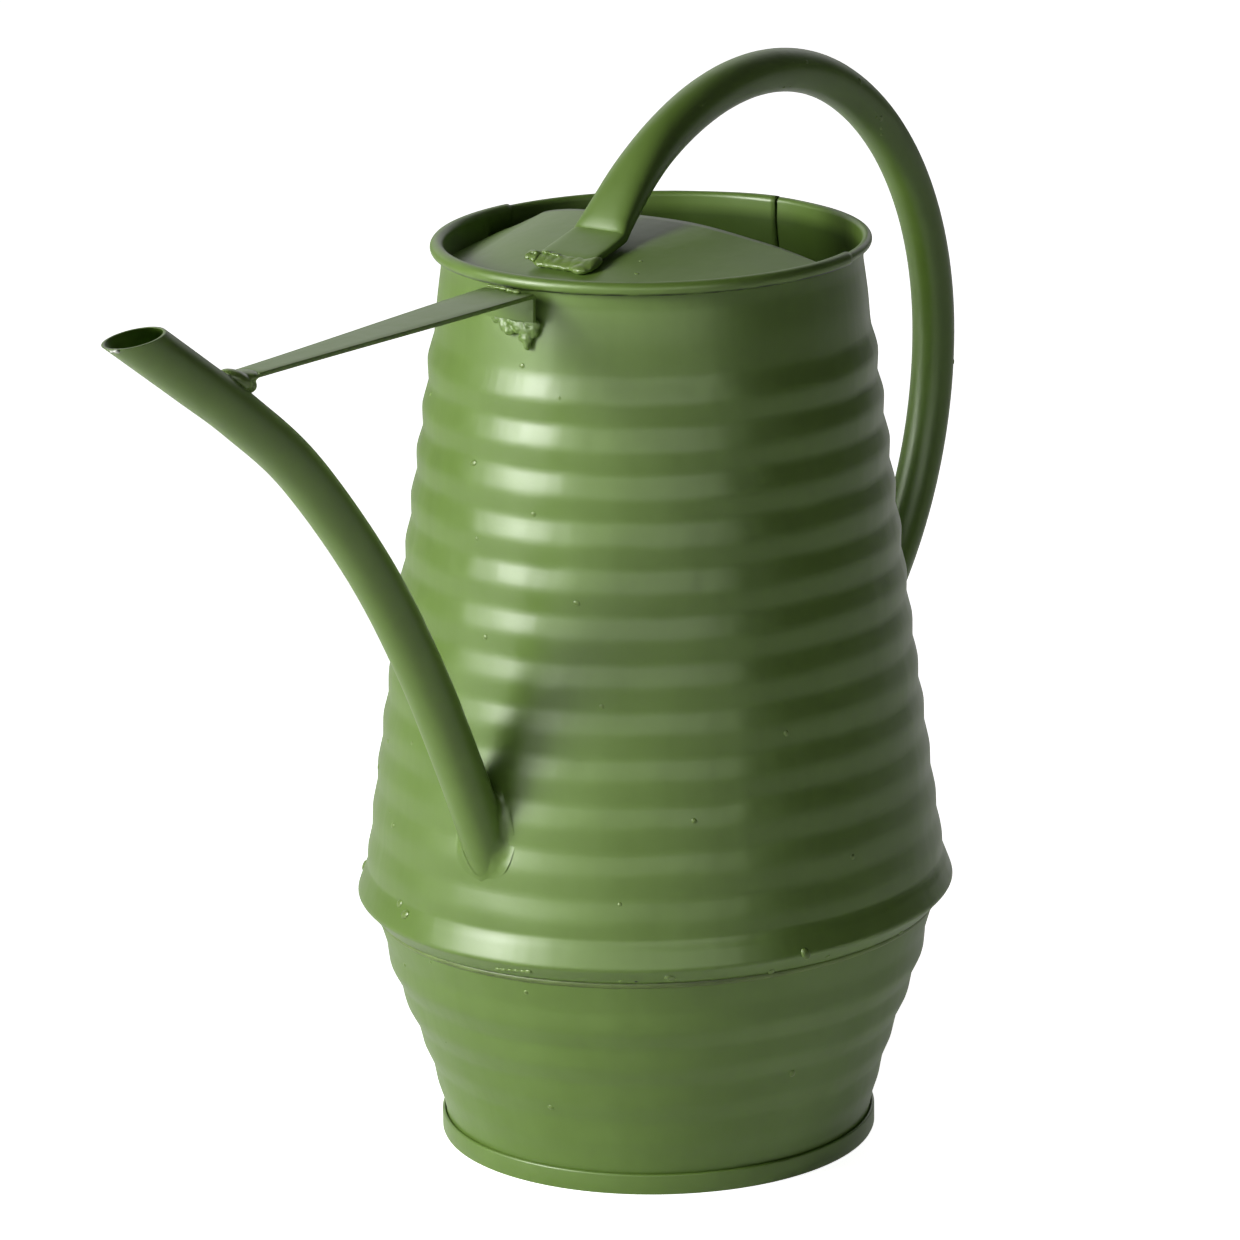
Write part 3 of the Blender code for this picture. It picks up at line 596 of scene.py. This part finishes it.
def make_cover(coat):
    """Plate pressed over the spout half of the mouth, its flange rolled round the rim's curl."""
    flange = arc(RIM_RADIUS, RIM_Z, COVER_FLANGE, -60, 180, 26)
    plate_rows, low_dip = 30, 0.2990
    points, faces = [], []
    step = 1.25
    columns = [-100 + step * i for i in range(int(200 / step) + 1)]
    rows = len(flange) + 1 + plate_rows
    for degrees in columns:
        turn = math.radians(degrees)
        side = math.sin(turn)
        end_z = low_dip if side > 0 else 0.3058
        foot_z = 0.3018 + (end_z - 0.3018) * side * side
        for radius, z in flange:
            points.append(round_axis(radius, turn, z))
        foot_side = COVER_WALL * side
        foot_ahead = COVER_WALL * math.cos(turn)
        points.append(at(foot_ahead, foot_z, foot_side))
        for row in range(1, plate_rows + 1):
            part = (row / plate_rows) ** 0.92
            z = foot_z + (cover_edge(foot_side) - foot_z) * (0.88 * part + 0.12
                    * math.sin(part * math.pi / 2))
            points.append(at(foot_ahead * (1.0 - part), z, foot_side))
    for column, degrees in enumerate(columns[:-1]):
        last = rows - 1 if -90 <= degrees < 90 else len(flange)
        for row in range(last):
            here = column * rows + row
            faces.append((here, here + 1, here + rows + 1, here + rows))
    mesh = mesh_from("half_cover_plate", points, faces)
    work = bmesh.new()
    work.from_mesh(mesh)
    bmesh.ops.remove_doubles(work, verts=work.verts, dist=0.00001)
    loose = [vertex for vertex in work.verts if not vertex.link_faces]
    bmesh.ops.delete(work, geom=loose, context="VERTS")
    work.to_mesh(mesh)
    work.free()
    # painted shade: the flange's lowest outer edge is marked so the finish darkens it like the shade under
    # the rim's bead
    under = mesh.attributes.new("trough", "FLOAT", "POINT")
    for vertex in mesh.vertices:
        outside = math.hypot(vertex.co.x - AXIS_X, vertex.co.y) > RIM_RADIUS + 0.0008
        under.data[vertex.index].value = ease(0.0009, 0.0017, RIM_Z - vertex.co.z) if outside else 0.0
    cover = add_object("half_cover_plate", lean(soften(mesh, 50)))
    sheet(cover, COVER_SHEET)
    cover.modifiers["sheet"].use_even_offset = False
    return finish_piece(cover, coat, "green_enamel", "half_cover")


# ---- spout ----
SPOUT_ROUTE = ((0.0785, 0.0950), (0.0913, 0.1224), (0.1048, 0.1523), (0.1242, 0.1907), (0.1483, 0.2286),
        (0.1802, 0.2666), (0.2079, 0.2900), (0.2304, 0.3062), (0.2551, 0.3236), (0.2790, 0.3404))


def spout_line():
    return [at(point.x, point.y) for point in through(SPOUT_ROUTE, 40)]


def side_of_tube(line, radius, angle):
    """One straight side of a tube along a line that lies in the plane side = 0."""
    points = []
    for i, centre in enumerate(line):
        along = (line[min(i + 1, len(line) - 1)] - line[max(i - 1, 0)]).normalized()
        above = Vector((along.z, 0.0, -along.x)) * -1.0
        points.append(centre + radius * (math.sin(angle) * above + math.cos(angle) * Vector((0.0, 1.0, 0.0))))
    return points


def clipped(points, outside):
    """The stretch of a polyline where outside(point) is above zero, with its ends on the surface."""
    values = [outside(point) for point in points]
    kept = []
    for i in range(len(points) - 1):
        a, b = values[i], values[i + 1]
        if a > 0:
            kept.append(points[i])
        if (a > 0) != (b > 0):
            kept.append(points[i].lerp(points[i + 1], a / (a - b)))
    return kept


def spaced(points, count):
    """Even steps along a polyline."""
    lengths = [0.0]
    for a, b in zip(points, points[1:]):
        lengths.append(lengths[-1] + (b - a).length)
    result, i = [], 0
    for step in range(count + 1):
        goal = lengths[-1] * step / count
        while i < len(points) - 2 and lengths[i + 1] < goal:
            i += 1
        span = max(lengths[i + 1] - lengths[i], 1e-9)
        result.append(points[i].lerp(points[i + 1], min((goal - lengths[i]) / span, 1.0)))
    return result


def clear_of_can(point):
    """Above zero outside the body's wall and below the level of the spout's mouth."""
    out = math.hypot(point.x - AXIS_X, point.y) - body_radius(point.z) + 0.0002
    return min(out, MOUTH_Z + MOUTH_SLOPE * (point.x - spout_low.x) - point.z)


def make_spout(coat):
    sides, rows = 48, 110
    line = spout_line()
    points, faces = [], []
    for radius in (SPOUT_RADIUS, SPOUT_RADIUS - SPOUT_WALL):
        for side in range(sides):
            kept = clipped(side_of_tube(line, radius, 2 * math.pi * side / sides), clear_of_can)
            points += spaced(kept, rows)
    per = rows + 1
    inner = sides * per
    for side in range(sides):
        here, there = side * per, (side + 1) % sides * per
        for row in range(rows):
            faces.append((here + row, here + row + 1, there + row + 1, there + row))
            faces.append((inner + here + row, inner + there + row, inner + there + row + 1,
                    inner + here + row + 1))
        faces.append((here + rows, inner + here + rows, inner + there + rows, there + rows))
        faces.append((here, there, inner + there, inner + here))
    spout = add_object("bent_spout", soften(facing_out(mesh_from("bent_spout", points, faces)), 50))
    rounded(spout, "rubbed_lip", 0.00018)
    finish_piece(spout, coat, "green_enamel", "spout_tube")


def make_spout_solder(coat):
    """Fillet that runs from the tube's root out on to the wall, long at its lower tip."""
    sides, steps = 96, 12
    line = spout_line()[:200]
    rings = []
    for side in range(sides):
        angle = 2 * math.pi * side / sides
        kept = clipped(side_of_tube(line, SPOUT_RADIUS, angle), clear_of_can)
        root, tube_way = kept[0], (kept[6] - kept[0]).normalized()
        middle = at(0.0925, 0.1245)
        out = root - Vector((AXIS_X, 0.0, root.z))
        out.normalize()
        away = root - middle
        away -= out * away.dot(out)
        away.normalize()
        uneven = noise.noise(Vector((math.cos(angle) * 1.7, math.sin(angle) * 1.7, 3.0)))
        tip = ease(0.55, 1.0, -math.sin(angle))
        saddle = ease(0.15, 1.0, abs(math.cos(angle))) * (1.0 if math.cos(angle) < 0 else 0.8)
        spread = 0.0016 + 0.0006 * uneven + 0.0022 * tip + 0.0030 * saddle
        climb = 0.0018 + 0.0005 * uneven + 0.0012 * tip + 0.0040 * saddle
        start, corner, end = root + tube_way * climb + out * 0.0001, root + out * 0.0001, root + away * spread
        wall = body_radius(end.z)
        flat = Vector((end.x - AXIS_X, end.y, 0.0)).normalized() * (wall - 0.00005)
        end = Vector((AXIS_X + flat.x, flat.y, end.z))
        ring = []
        for i in range(steps + 1):
            t = i / steps
            place = start * (1 - t) ** 2 + corner * 2 * t * (1 - t) + end * t ** 2
            ripple = noise.noise(place * 420.0) * 0.00022 * math.sin(math.pi * t)
            ring.append(place + out * ripple)
        ring.append(root - out * 0.0006)
        rings.append(ring)
    faces = quads(sides, len(rings[0]), True, True)
    mesh = facing_out(mesh_from("root_fillet", [point for ring in rings for point in ring], faces))
    fillet = add_object("root_fillet", soften(mesh, 60))
    finish_piece(fillet, coat, "enamelled_solder", "spout_root_solder")


# ---- solder laid in lumps ----
def solder(name, drops, grain, ease_out, coat, *stands_for):
    """Drops run together: each is a centre, three half sizes and a tilt. Remeshed, then roughened."""
    work = bmesh.new()
    for centre, size, tilt in drops:
        turned_to = Matrix.Translation(centre) @ Matrix.Rotation(math.radians(tilt), 4, "Y")
        bmesh.ops.create_icosphere(work, subdivisions=3, radius=1.0,
                matrix=turned_to @ Matrix.Diagonal((*size, 1.0)))
    mesh = bpy.data.meshes.new(name)
    work.to_mesh(mesh)
    work.free()
    lump = add_object(name, mesh)
    melt = lump.modifiers.new("melted", "REMESH")
    melt.mode = "VOXEL"
    melt.voxel_size = 0.00028
    relax = lump.modifiers.new("relaxed", "SMOOTH")
    relax.factor = 0.6
    relax.iterations = ease_out
    mesh = baked(lump, name)
    normals = [vertex.normal.copy() for vertex in mesh.vertices]
    for vertex, normal in zip(mesh.vertices, normals):
        coarse = noise.noise(vertex.co * 480.0)
        fine = noise.noise(vertex.co * 1300.0)
        vertex.co += normal * grain * (coarse + 0.35 * fine)
    lump = add_object(name, soften(mesh, 60))
    finish_piece(lump, coat, "enamelled_solder", *stands_for)


# ---- brace ----
BRACE_TOP_Z = RIM_Z - COVER_FLANGE - 0.0003
BRACE_TAB_AHEAD, BRACE_OUTER, BRACE_SHEET = 0.0725, 0.2040, 0.0015


def make_brace(coat):
    """Flat bar from rim to spout: wide at the can, tapered, a little bowed, its end bent down as a tab."""
    path = [(BRACE_TAB_AHEAD - 0.0002, BRACE_TOP_Z - 0.0094, 0.0097),
            (BRACE_TAB_AHEAD - 0.0001, BRACE_TOP_Z - 0.0050, 0.0099),
            (BRACE_TAB_AHEAD, BRACE_TOP_Z - 0.0014, 0.0100), (BRACE_TAB_AHEAD + 0.0004, BRACE_TOP_Z - 0.0004,
            0.0100), (BRACE_TAB_AHEAD + 0.0014, BRACE_TOP_Z, 0.0100)]
    for i in range(1, 25):
        part = i / 24
        ahead = BRACE_TAB_AHEAD + 0.0014 + (BRACE_OUTER - BRACE_TAB_AHEAD - 0.0014) * part
        width = 0.0100 - 0.0055 * ease(-0.1, 1.15, part)
        path.append((ahead, BRACE_TOP_Z - 0.0002 * part, width))
    points = []
    across = (-1.0, -0.5, 0.0, 0.5, 1.0)
    for ahead, z, half in path:
        points += [at(ahead, z, half * part) for part in across]
    faces = quads(len(path), len(across))
    bar = add_object("brace_bar", soften(mesh_from("brace_bar", points, faces), 60))
    sheet(bar, BRACE_SHEET)
    rounded(bar, "sheared_edge", 0.0002)
    finish_piece(bar, coat, "green_enamel", "brace_strap")


def make_lumps(coat, dull, pale):
    low = BRACE_TOP_Z - 0.0098
    drip = [(side, low - 0.0009, 0.0022, 0.0016) for side in (0.0078, 0.0052, 0.0026, 0.0, -0.0028, -0.0056,
            -0.0080)]
    drip += [(0.0040, low - 0.0028, 0.0025, 0.0022), (0.0020, low - 0.0040, 0.0022, 0.0018),
            (-0.0016, low - 0.0026, 0.0026, 0.0022), (-0.0046, low - 0.0034, 0.0032, 0.0030),
            (-0.0074, low - 0.0030, 0.0018, 0.0028), (-0.0044, low - 0.0058, 0.0028, 0.0022),
            (-0.0054, low - 0.0078, 0.0014, 0.0020)]
    drops = [(at(math.sqrt((body_radius(z) + 0.0004) ** 2 - side ** 2), z, side), (0.0013, half, tall),
            -4) for side, z, half, tall in drip]
    solder("tab_drip", drops, 0.00034, 8, dull, "brace_body_solder")
    bar = BRACE_TOP_Z - 0.0002
    mound = [(at(0.2102, bar - 0.0018), (0.0062, 0.0056, 0.0032), 35),
            (at(0.2060, bar - 0.0009), (0.0048, 0.0054, 0.0018), 4),
            (at(0.2064, bar - 0.0034), (0.0042, 0.0048, 0.0030), 38)]
    solder("spout_mound", mound, 0.00004, 26, coat, "brace_spout_solder")
    slope = -20.0
    bead = [(at(0.0452, 0.3079, side), (0.0042, 0.0036, 0.0016), slope) for side in (-0.0098, -0.0065,
            -0.0030, 0.0005, 0.0040, 0.0075)]
    bead += [(at(0.0430, 0.3084, -0.0110), (0.0042, 0.0020, 0.0018), -11),
            (at(0.0450, 0.3085, 0.0105), (0.0034, 0.0028, 0.0015), -12),
            (at(0.0480, 0.3071, -0.0090), (0.0022, 0.0034, 0.0014), slope),
            (at(0.0476, 0.3074, 0.0010), (0.0018, 0.0040, 0.0010), slope)]
    solder("foot_bead", bead, 0.00014, 14, coat, "handle_front_solder")
    crumple = [(at(0.0446, 0.3096, 0.0112), (0.0020, 0.0024, 0.0008), 18),
            (at(0.0462, 0.3089, 0.0124), (0.0024, 0.0014, 0.0010), -28),
            (at(0.0440, 0.3100, 0.0078), (0.0009, 0.0026, 0.0007), 10),
            (at(0.0444, 0.3098, 0.0036), (0.0010, 0.0022, 0.0006), 0),
            (at(0.0466, 0.3088, 0.0096), (0.0026, 0.0010, 0.0009), -30),
            (at(0.0450, 0.3092, 0.0010), (0.0012, 0.0016, 0.0006), -20)]
    solder("foot_crumple", crumple, 0.00040, 4, coat)
    back = -(cone_radius(0.105) + 0.0016)
    tail = [(at(back, 0.1050, side), (0.0020, 0.0032, 0.0020), 0) for side in (-0.0090, -0.0045, 0.0, 0.0045,
            0.0090)]
    solder("tab_bead", tail, 0.0003, 6, coat, "handle_rear_solder")
    crumbs = [(at(0.0725 + 0.0006 * i, BRACE_TOP_Z + 0.0004, 0.0080 - 0.0029 * i), (0.0010, 0.0018, 0.0007),
            0) for i in range(5)]
    solder("bar_top_bead", crumbs, 0.0003, 5, coat)
    # painted highlight: a pale lump on the mouth's lower tip where the lip shows a white glint
    tip = AXIS_X - spout_low.x
    glint_drops = [(at(tip - 0.0016, MOUTH_Z - 0.0005, -0.0026), (0.0011, 0.0012, 0.0006), 20),
            (at(tip - 0.0010, MOUTH_Z - 0.0005, -0.0015), (0.0008, 0.0010, 0.0005), 0)]
    solder("lip_drop", glint_drops, 0.0001, 4, pale)


def make_seam_lump(cone, coat):
    """A run of solder left standing on the seam under the coat."""
    run = settled(cone, [wall_spot(degrees, z) for degrees, z in ((-5.0, 0.0827), (-6.4, 0.0828),
            (-7.8, 0.0830), (-9.2, 0.0832), (-10.6, 0.0834), (-12.0, 0.0837))])
    solder("seam_lump", [(spot + way * 0.0003, (0.0016, 0.0016, 0.0009), 0) for spot, way in run], 0.0002, 5,
            coat)


# ---- handle ----
def handle_point(degrees):
    radius = 0.10915 - 0.0033 * (1.0 - ease(62, 118, degrees))
    radius += 0.0055 * (max(degrees - 180, 0) / 44) ** 2
    angle = math.radians(degrees)
    return at(-0.0570 + radius * math.cos(angle), 0.2445 + radius * math.sin(angle))


def make_handle(coat):
    """Round tube bent over one long arc, hammered flat in front below a hard crease, behind into a tab."""
    sides = 40
    foot = 0.40
    stations = [(at(0.0436, 0.3083), 0.0108, 0.00145, foot), (at(0.0433, 0.3085), 0.0111, 0.00145, foot),
            (at(0.0400, 0.3094), 0.0112, 0.00146, foot), (at(0.0340, 0.3109), 0.0112, 0.00160, foot),
            (at(0.0290, 0.3121), 0.0110, 0.00190, foot), (at(0.0256, 0.3130), 0.0106, 0.0023, 0.45),
            (at(0.0248, 0.3133), 0.0105, 0.0024, 0.45), (at(0.0240, 0.3141), 0.0104, 0.0027, 0.50),
            (at(0.0212, 0.3167), 0.0098, 0.0038, 0.64)]
    spans = 100
    for i in range(spans + 1):
        degrees = 48 + (243 - 48) * i / spans
        round_part = min(ease(44, 66, degrees), 1.0 - ease(229, 251, degrees))
        flat = 1.0 - round_part
        stations.append((handle_point(degrees), HANDLE_RADIUS + 0.0018 * flat, HANDLE_RADIUS - 0.0024 * flat,
                1.0 - 0.22 * flat))
    for z, half_width, half_height, fullness in ((0.1290, 0.0106, 0.0030, 0.6),
            (0.1225, 0.0112, 0.0018, foot), (0.1150, 0.0112, 0.00145, foot), (0.1070, 0.0112, 0.00145, foot)):
        stations.append((at(-(cone_radius(z) + 0.0010 + half_height), z), half_width, half_height, fullness))
    centres = [station[0] for station in stations]
    points = []
    for i, (centre, half_width, half_height, fullness) in enumerate(stations):
        along = (centres[min(i + 1, len(centres) - 1)] - centres[max(i - 1, 0)]).normalized()
        above = Vector((-along.z, 0.0, along.x))
        for side in range(sides):
            angle = 2 * math.pi * side / sides
            wide = math.copysign(abs(math.cos(angle)) ** fullness, math.cos(angle)) * half_width
            high = math.copysign(abs(math.sin(angle)) ** fullness, math.sin(angle)) * half_height
            points.append(centre + Vector((0.0, 1.0, 0.0)) * wide + above * high)
    faces = quads(len(stations), sides, False, True)
    faces.append(tuple(range(sides)))
    faces.append(tuple(len(points) - sides + j for j in range(sides)))
    handle = add_object("bent_handle", soften(facing_out(mesh_from("bent_handle", points, faces)), 32))
    return finish_piece(handle, coat, "green_enamel", "handle_tube")


# ---- drips and grains stuck in the coat ----
def scattering():
    """Geometry nodes that set low domes at given points, each turned to the wall's normal."""
    tree = new_tree("dome_setting", (("Points", "Geometry", None), ("Dome Size", "Float", 0.0005),
            ("Seed", "Int", 3), ("Finish", "Material", None)), "Domes")
    add = partial(wire, tree)
    given = tree.nodes.new("NodeGroupInput").outputs
    size = add("FunctionNodeRandomValue", {2: 0.55, 3: 1.3, "Seed": given["Seed"]},
            data_type="FLOAT").outputs[1]
    long = add("FunctionNodeRandomValue", {2: 0.7, 3: 1.5, "Seed": given["Seed"]},
            data_type="FLOAT").outputs[1]
    dome = add("GeometryNodeMeshIcoSphere", {"Radius": given["Dome Size"], "Subdivisions": 3})
    outward = add("GeometryNodeInputNamedAttribute", {"Name": "outward"}, data_type="FLOAT_VECTOR")
    turn = add("FunctionNodeAlignRotationToVector", {"Vector": outward.outputs[0]}, axis="Z")
    stretch = add("CombineXYZ", {"X": size, "Y": add("Math", {0: size, 1: long}, operation="MULTIPLY"),
            "Z": add("Math", {0: size, 1: 0.5}, operation="MULTIPLY")})
    set_down = add("GeometryNodeInstanceOnPoints", {"Points": given["Points"],
            "Instance": dome.outputs["Mesh"], "Rotation": turn, "Scale": stretch})
    real = add("GeometryNodeRealizeInstances", {"Geometry": set_down})
    smooth = add("GeometryNodeSetShadeSmooth", {"Geometry": real, "Shade Smooth": True})
    finished = add("GeometryNodeSetMaterial", {"Geometry": smooth, "Material": given["Finish"]})
    add("NodeGroupOutput", {0: finished})
    return tree


def make_grains(name, places, size, seed, tree, coat):
    mesh = mesh_from(name, [place for place, outward in places])
    ways = mesh.attributes.new("outward", "FLOAT_VECTOR", "POINT")
    for i, (place, outward) in enumerate(places):
        ways.data[i].vector = outward
    stuck = add_object(name, mesh)
    laid = stuck.modifiers.new("setting", "NODES")
    laid.node_group = tree
    wanted = {"Dome Size": size, "Seed": seed, "Finish": coat}
    for item in tree.interface.items_tree:
        if item.name in wanted:
            laid[item.identifier] = wanted[item.name]
    grains = add_object(name, baked(stuck, name))
    finish_piece(grains, coat, "enamelled_solder")


def settled(surface, places):
    """The nearest places on a finished piece, with the way out from each."""
    spots = []
    for place in places:
        found, spot, way, face = surface.closest_point_on_mesh(place)
        spots.append((spot - way * 0.0001, way))
    return spots


def wall_spot(degrees, z):
    """A place on the can's outside."""
    turn = math.radians(degrees)
    if z > CONE_FOOT_Z:
        radius = body_radius(z)
    elif z > LIP_Z:
        radius = shoulder_radius((z - LIP_Z) / (CONE_FOOT_Z - LIP_Z))
    else:
        radius = bowl_radius(z)
    return round_axis(radius, turn, z)


# ---- studio ----
def make_studio():
    paper = add_object("paper_floor", mesh_from("paper_floor",
            [(-6, -6, FLOOR_Z), (6, -6, FLOOR_Z), (6, 6, FLOOR_Z), (-6, 6, FLOOR_Z)], [(0, 1, 2, 3)]))
    paper.data.materials.append(studio_paper())
    world = bpy.data.worlds.new("white_room")
    world.use_nodes = True
    bpy.context.scene.world = world
    tree = world.node_tree
    add = partial(wire, tree)
    room = tree.nodes["Background"]
    room.inputs["Color"].default_value = (1.0, 1.0, 1.0, 1.0)
    # a dim room with a white sweep behind the can and to its spout side
    way = add("TexCoord").outputs["Generated"]
    sweep_way = TURNED @ Vector((-0.15, 0.98, 0.10))
    facing = add("VectorMath", {0: way, 1: sweep_way}, operation="DOT_PRODUCT")
    sweep = add("MapRange", {"Value": facing.outputs["Value"], "From Min": 0.50, "From Max": 0.90}, **SMOOTH)
    height = add("SeparateXYZ", {0: way}).outputs["Z"]
    above = add("MapRange", {"Value": height, "From Min": 0.0, "From Max": 0.15}, **SMOOTH)
    path = add("LightPath")
    lit = add("Math", {0: sweep, 1: above}, operation="MULTIPLY")
    share = add("MapRange", {"Value": path.outputs["Is Glossy Ray"], "To Min": SWEEP_LIGHT,
            "To Max": SWEEP_SHINE})
    swept = add("Math", {0: lit, 1: share}, operation="MULTIPLY")
    level = add("Math", {0: swept, 1: ROOM_LIGHT}, operation="ADD")
    tree.links.new(level.outputs[0], room.inputs["Strength"])
    seen = add("Background", {"Color": (1.0, 1.0, 1.0, 1.0), "Strength": 1.1})
    both = add("MixShader", {0: path.outputs["Is Camera Ray"], 1: room, 2: seen})
    tree.links.new(both.outputs[0], tree.nodes["World Output"].inputs["Surface"])
    # turn is measured from the camera's own direction, towards the spout side
    for name, turn, rise, far, width, height, power, lights_paint, shines in (("key_softbox", -65, 21, 1.6,
            0.46, 0.62, 20.5, True, True), ("key_shine", -64, 21, 1.7, 1.55, 1.35, 36.0, False, True),
            ("front_panel", -2, 17, 2.7, 3.7, 1.15, 29.0, False, True),
            ("back_fill", 166, 24, 1.9, 0.9, 0.9, 3.6, True, False)):
        light = bpy.data.lights.new(name, "AREA")
        light.shape = "RECTANGLE"
        light.size, light.size_y = width, height
        light.energy = power
        lamp = add_object(name, light)
        way = TURNED @ Matrix.Rotation(math.radians(turn), 3,
                "Z") @ Vector((0.0, -math.cos(math.radians(rise)), math.sin(math.radians(rise))))
        middle = Vector((AXIS_X, 0.0, 0.18))
        lamp.location = middle + way * far
        lamp.rotation_mode = "QUATERNION"
        lamp.rotation_quaternion = (-way).to_track_quat("-Z", "Y")
        lamp.visible_camera = False
        lamp.visible_diffuse = lights_paint
        lamp.visible_glossy = shines
    bpy.context.scene.view_settings.view_transform = "Standard"


def make_can():
    satin = enamel("satin green enamel on tinplate", "6a8837", "729041", 0.35, 0.000014, 0.02)
    # thicker where it ran together, so glossier and a shade yellower
    thick = enamel("enamel pooled over solder", "749042", "7f994e", 0.28, 0.00001, 0.0)
    # darker, duller and browner along the seam
    seam_coat = enamel("grimed enamel along the soldered seam", "55652f", "839f50", 0.42, 0.00001, 0.0)
    # painted highlight: near-white grey for the glint at the spout's lower tip
    tip_glint_coat = enamel("bare solder where the coat has chipped", "d9dcd0", "c6cabb", 0.30, 0.00001, 0.0)
    # a pinprick that lets no light back
    pit = enamel("dark pinhole in the enamel", "2c3322", "3a4330", 0.55, 0.00001, 0.0)
    steel = tinned_wire()
    lathe = turning_lathe()
    # the shells' coat carries painted shade on its inner faces below the rim
    shell_coat = enamel("satin green enamel, dull inside the can", "6a8837", "729041", 0.35, 0.000014, 0.02,
            "aeb4a4")
    cone, bowl = make_shells(lathe, shell_coat)
    make_rings(lathe, satin, seam_coat, steel)
    cover = make_cover(satin)
    make_spout(satin)
    make_spout_solder(satin)
    make_brace(satin)
    make_lumps(thick, satin, tip_glint_coat)
    make_seam_lump(cone, thick)
    handle = make_handle(satin)
    setting = scattering()
    seam = [wall_spot(degrees, z) for degrees, z in ((20.5, 0.0922), (23.5, 0.0944), (33, 0.0815),
            (-39.5, 0.0836), (-66, 0.0880), (-72, 0.0840), (5, 0.0818), (60, 0.0830), (57, 0.0905),
            (44, 0.0830), (-60, 0.0820), (-30, 0.0822), (-95, 0.0820), (130, 0.0820), (-150, 0.0820))]
    make_grains("seam_grains", settled(cone, seam), 0.0013, 3, setting, thick)
    field = [wall_spot(degrees, z) for degrees, z in ((41, 0.2600), (12, 0.2450), (-8, 0.2320), (-20, 0.2050),
            (3, 0.1900), (-66, 0.1600), (-45, 0.1350), (25, 0.1480), (47, 0.1300), (-80, 0.1150),
            (-30, 0.1080), (120, 0.2000), (40, 0.1420), (33, 0.1210), (30, 0.1180), (-2, 0.2790),
            (-14, 0.2705), (8, 0.2210), (-26, 0.1720), (160, 0.1400), (-140, 0.1800), (-115, 0.2400),
            (95, 0.1100))]
    make_grains("wall_grains", settled(cone, field), 0.00085, 5, setting, thick)
    below = [wall_spot(degrees, z) for degrees, z in ((-70, 0.0400), (-10, 0.0300), (20, 0.0450),
            (-170, 0.0500), (16, 0.0765), (-9.5, 0.0742), (30, 0.0688), (52, 0.0720))]
    make_grains("bowl_grains", settled(bowl, below), 0.0011, 6, setting, thick)
    pits = [wall_spot(degrees, z) for degrees, z in ((-13.2, 0.0836), (-33, 0.0821), (88, 0.0822),
            (-120, 0.0821))]
    make_grains("pinholes", settled(cone, pits), 0.0006, 7, setting, pit)
    ridge = [handle_point(degrees) + Vector((0.0, -0.012, 0.0)) + (handle_point(degrees) - at(-0.0570,
            0.2445)) * 0.06 for degrees in (103, 99, 120, 186, 72)]
    ridge += [handle_point(degrees) + Vector((0.0, -0.014, 0.0)) - (handle_point(degrees) - at(-0.0570,
            0.2445)) * lean_in for degrees, lean_in in ((127, 0.04), (128.2, 0.06), (129.5, 0.05),
            (131.5, 0.10), (133, 0.12), (100, 0.13), (98, 0.14))]
    make_grains("handle_grains", settled(handle, ridge), 0.00070, 9, setting, thick)
    plate = [at(ahead, 0.3140, side) for ahead, side in ((0.0330, -0.0220), (0.0180, -0.0290),
            (0.0420, -0.0270), (0.0100, 0.0200))]
    make_grains("cover_grains", settled(cover, plate), 0.0006, 11, setting, thick)


place_camera()
make_studio()
make_can()
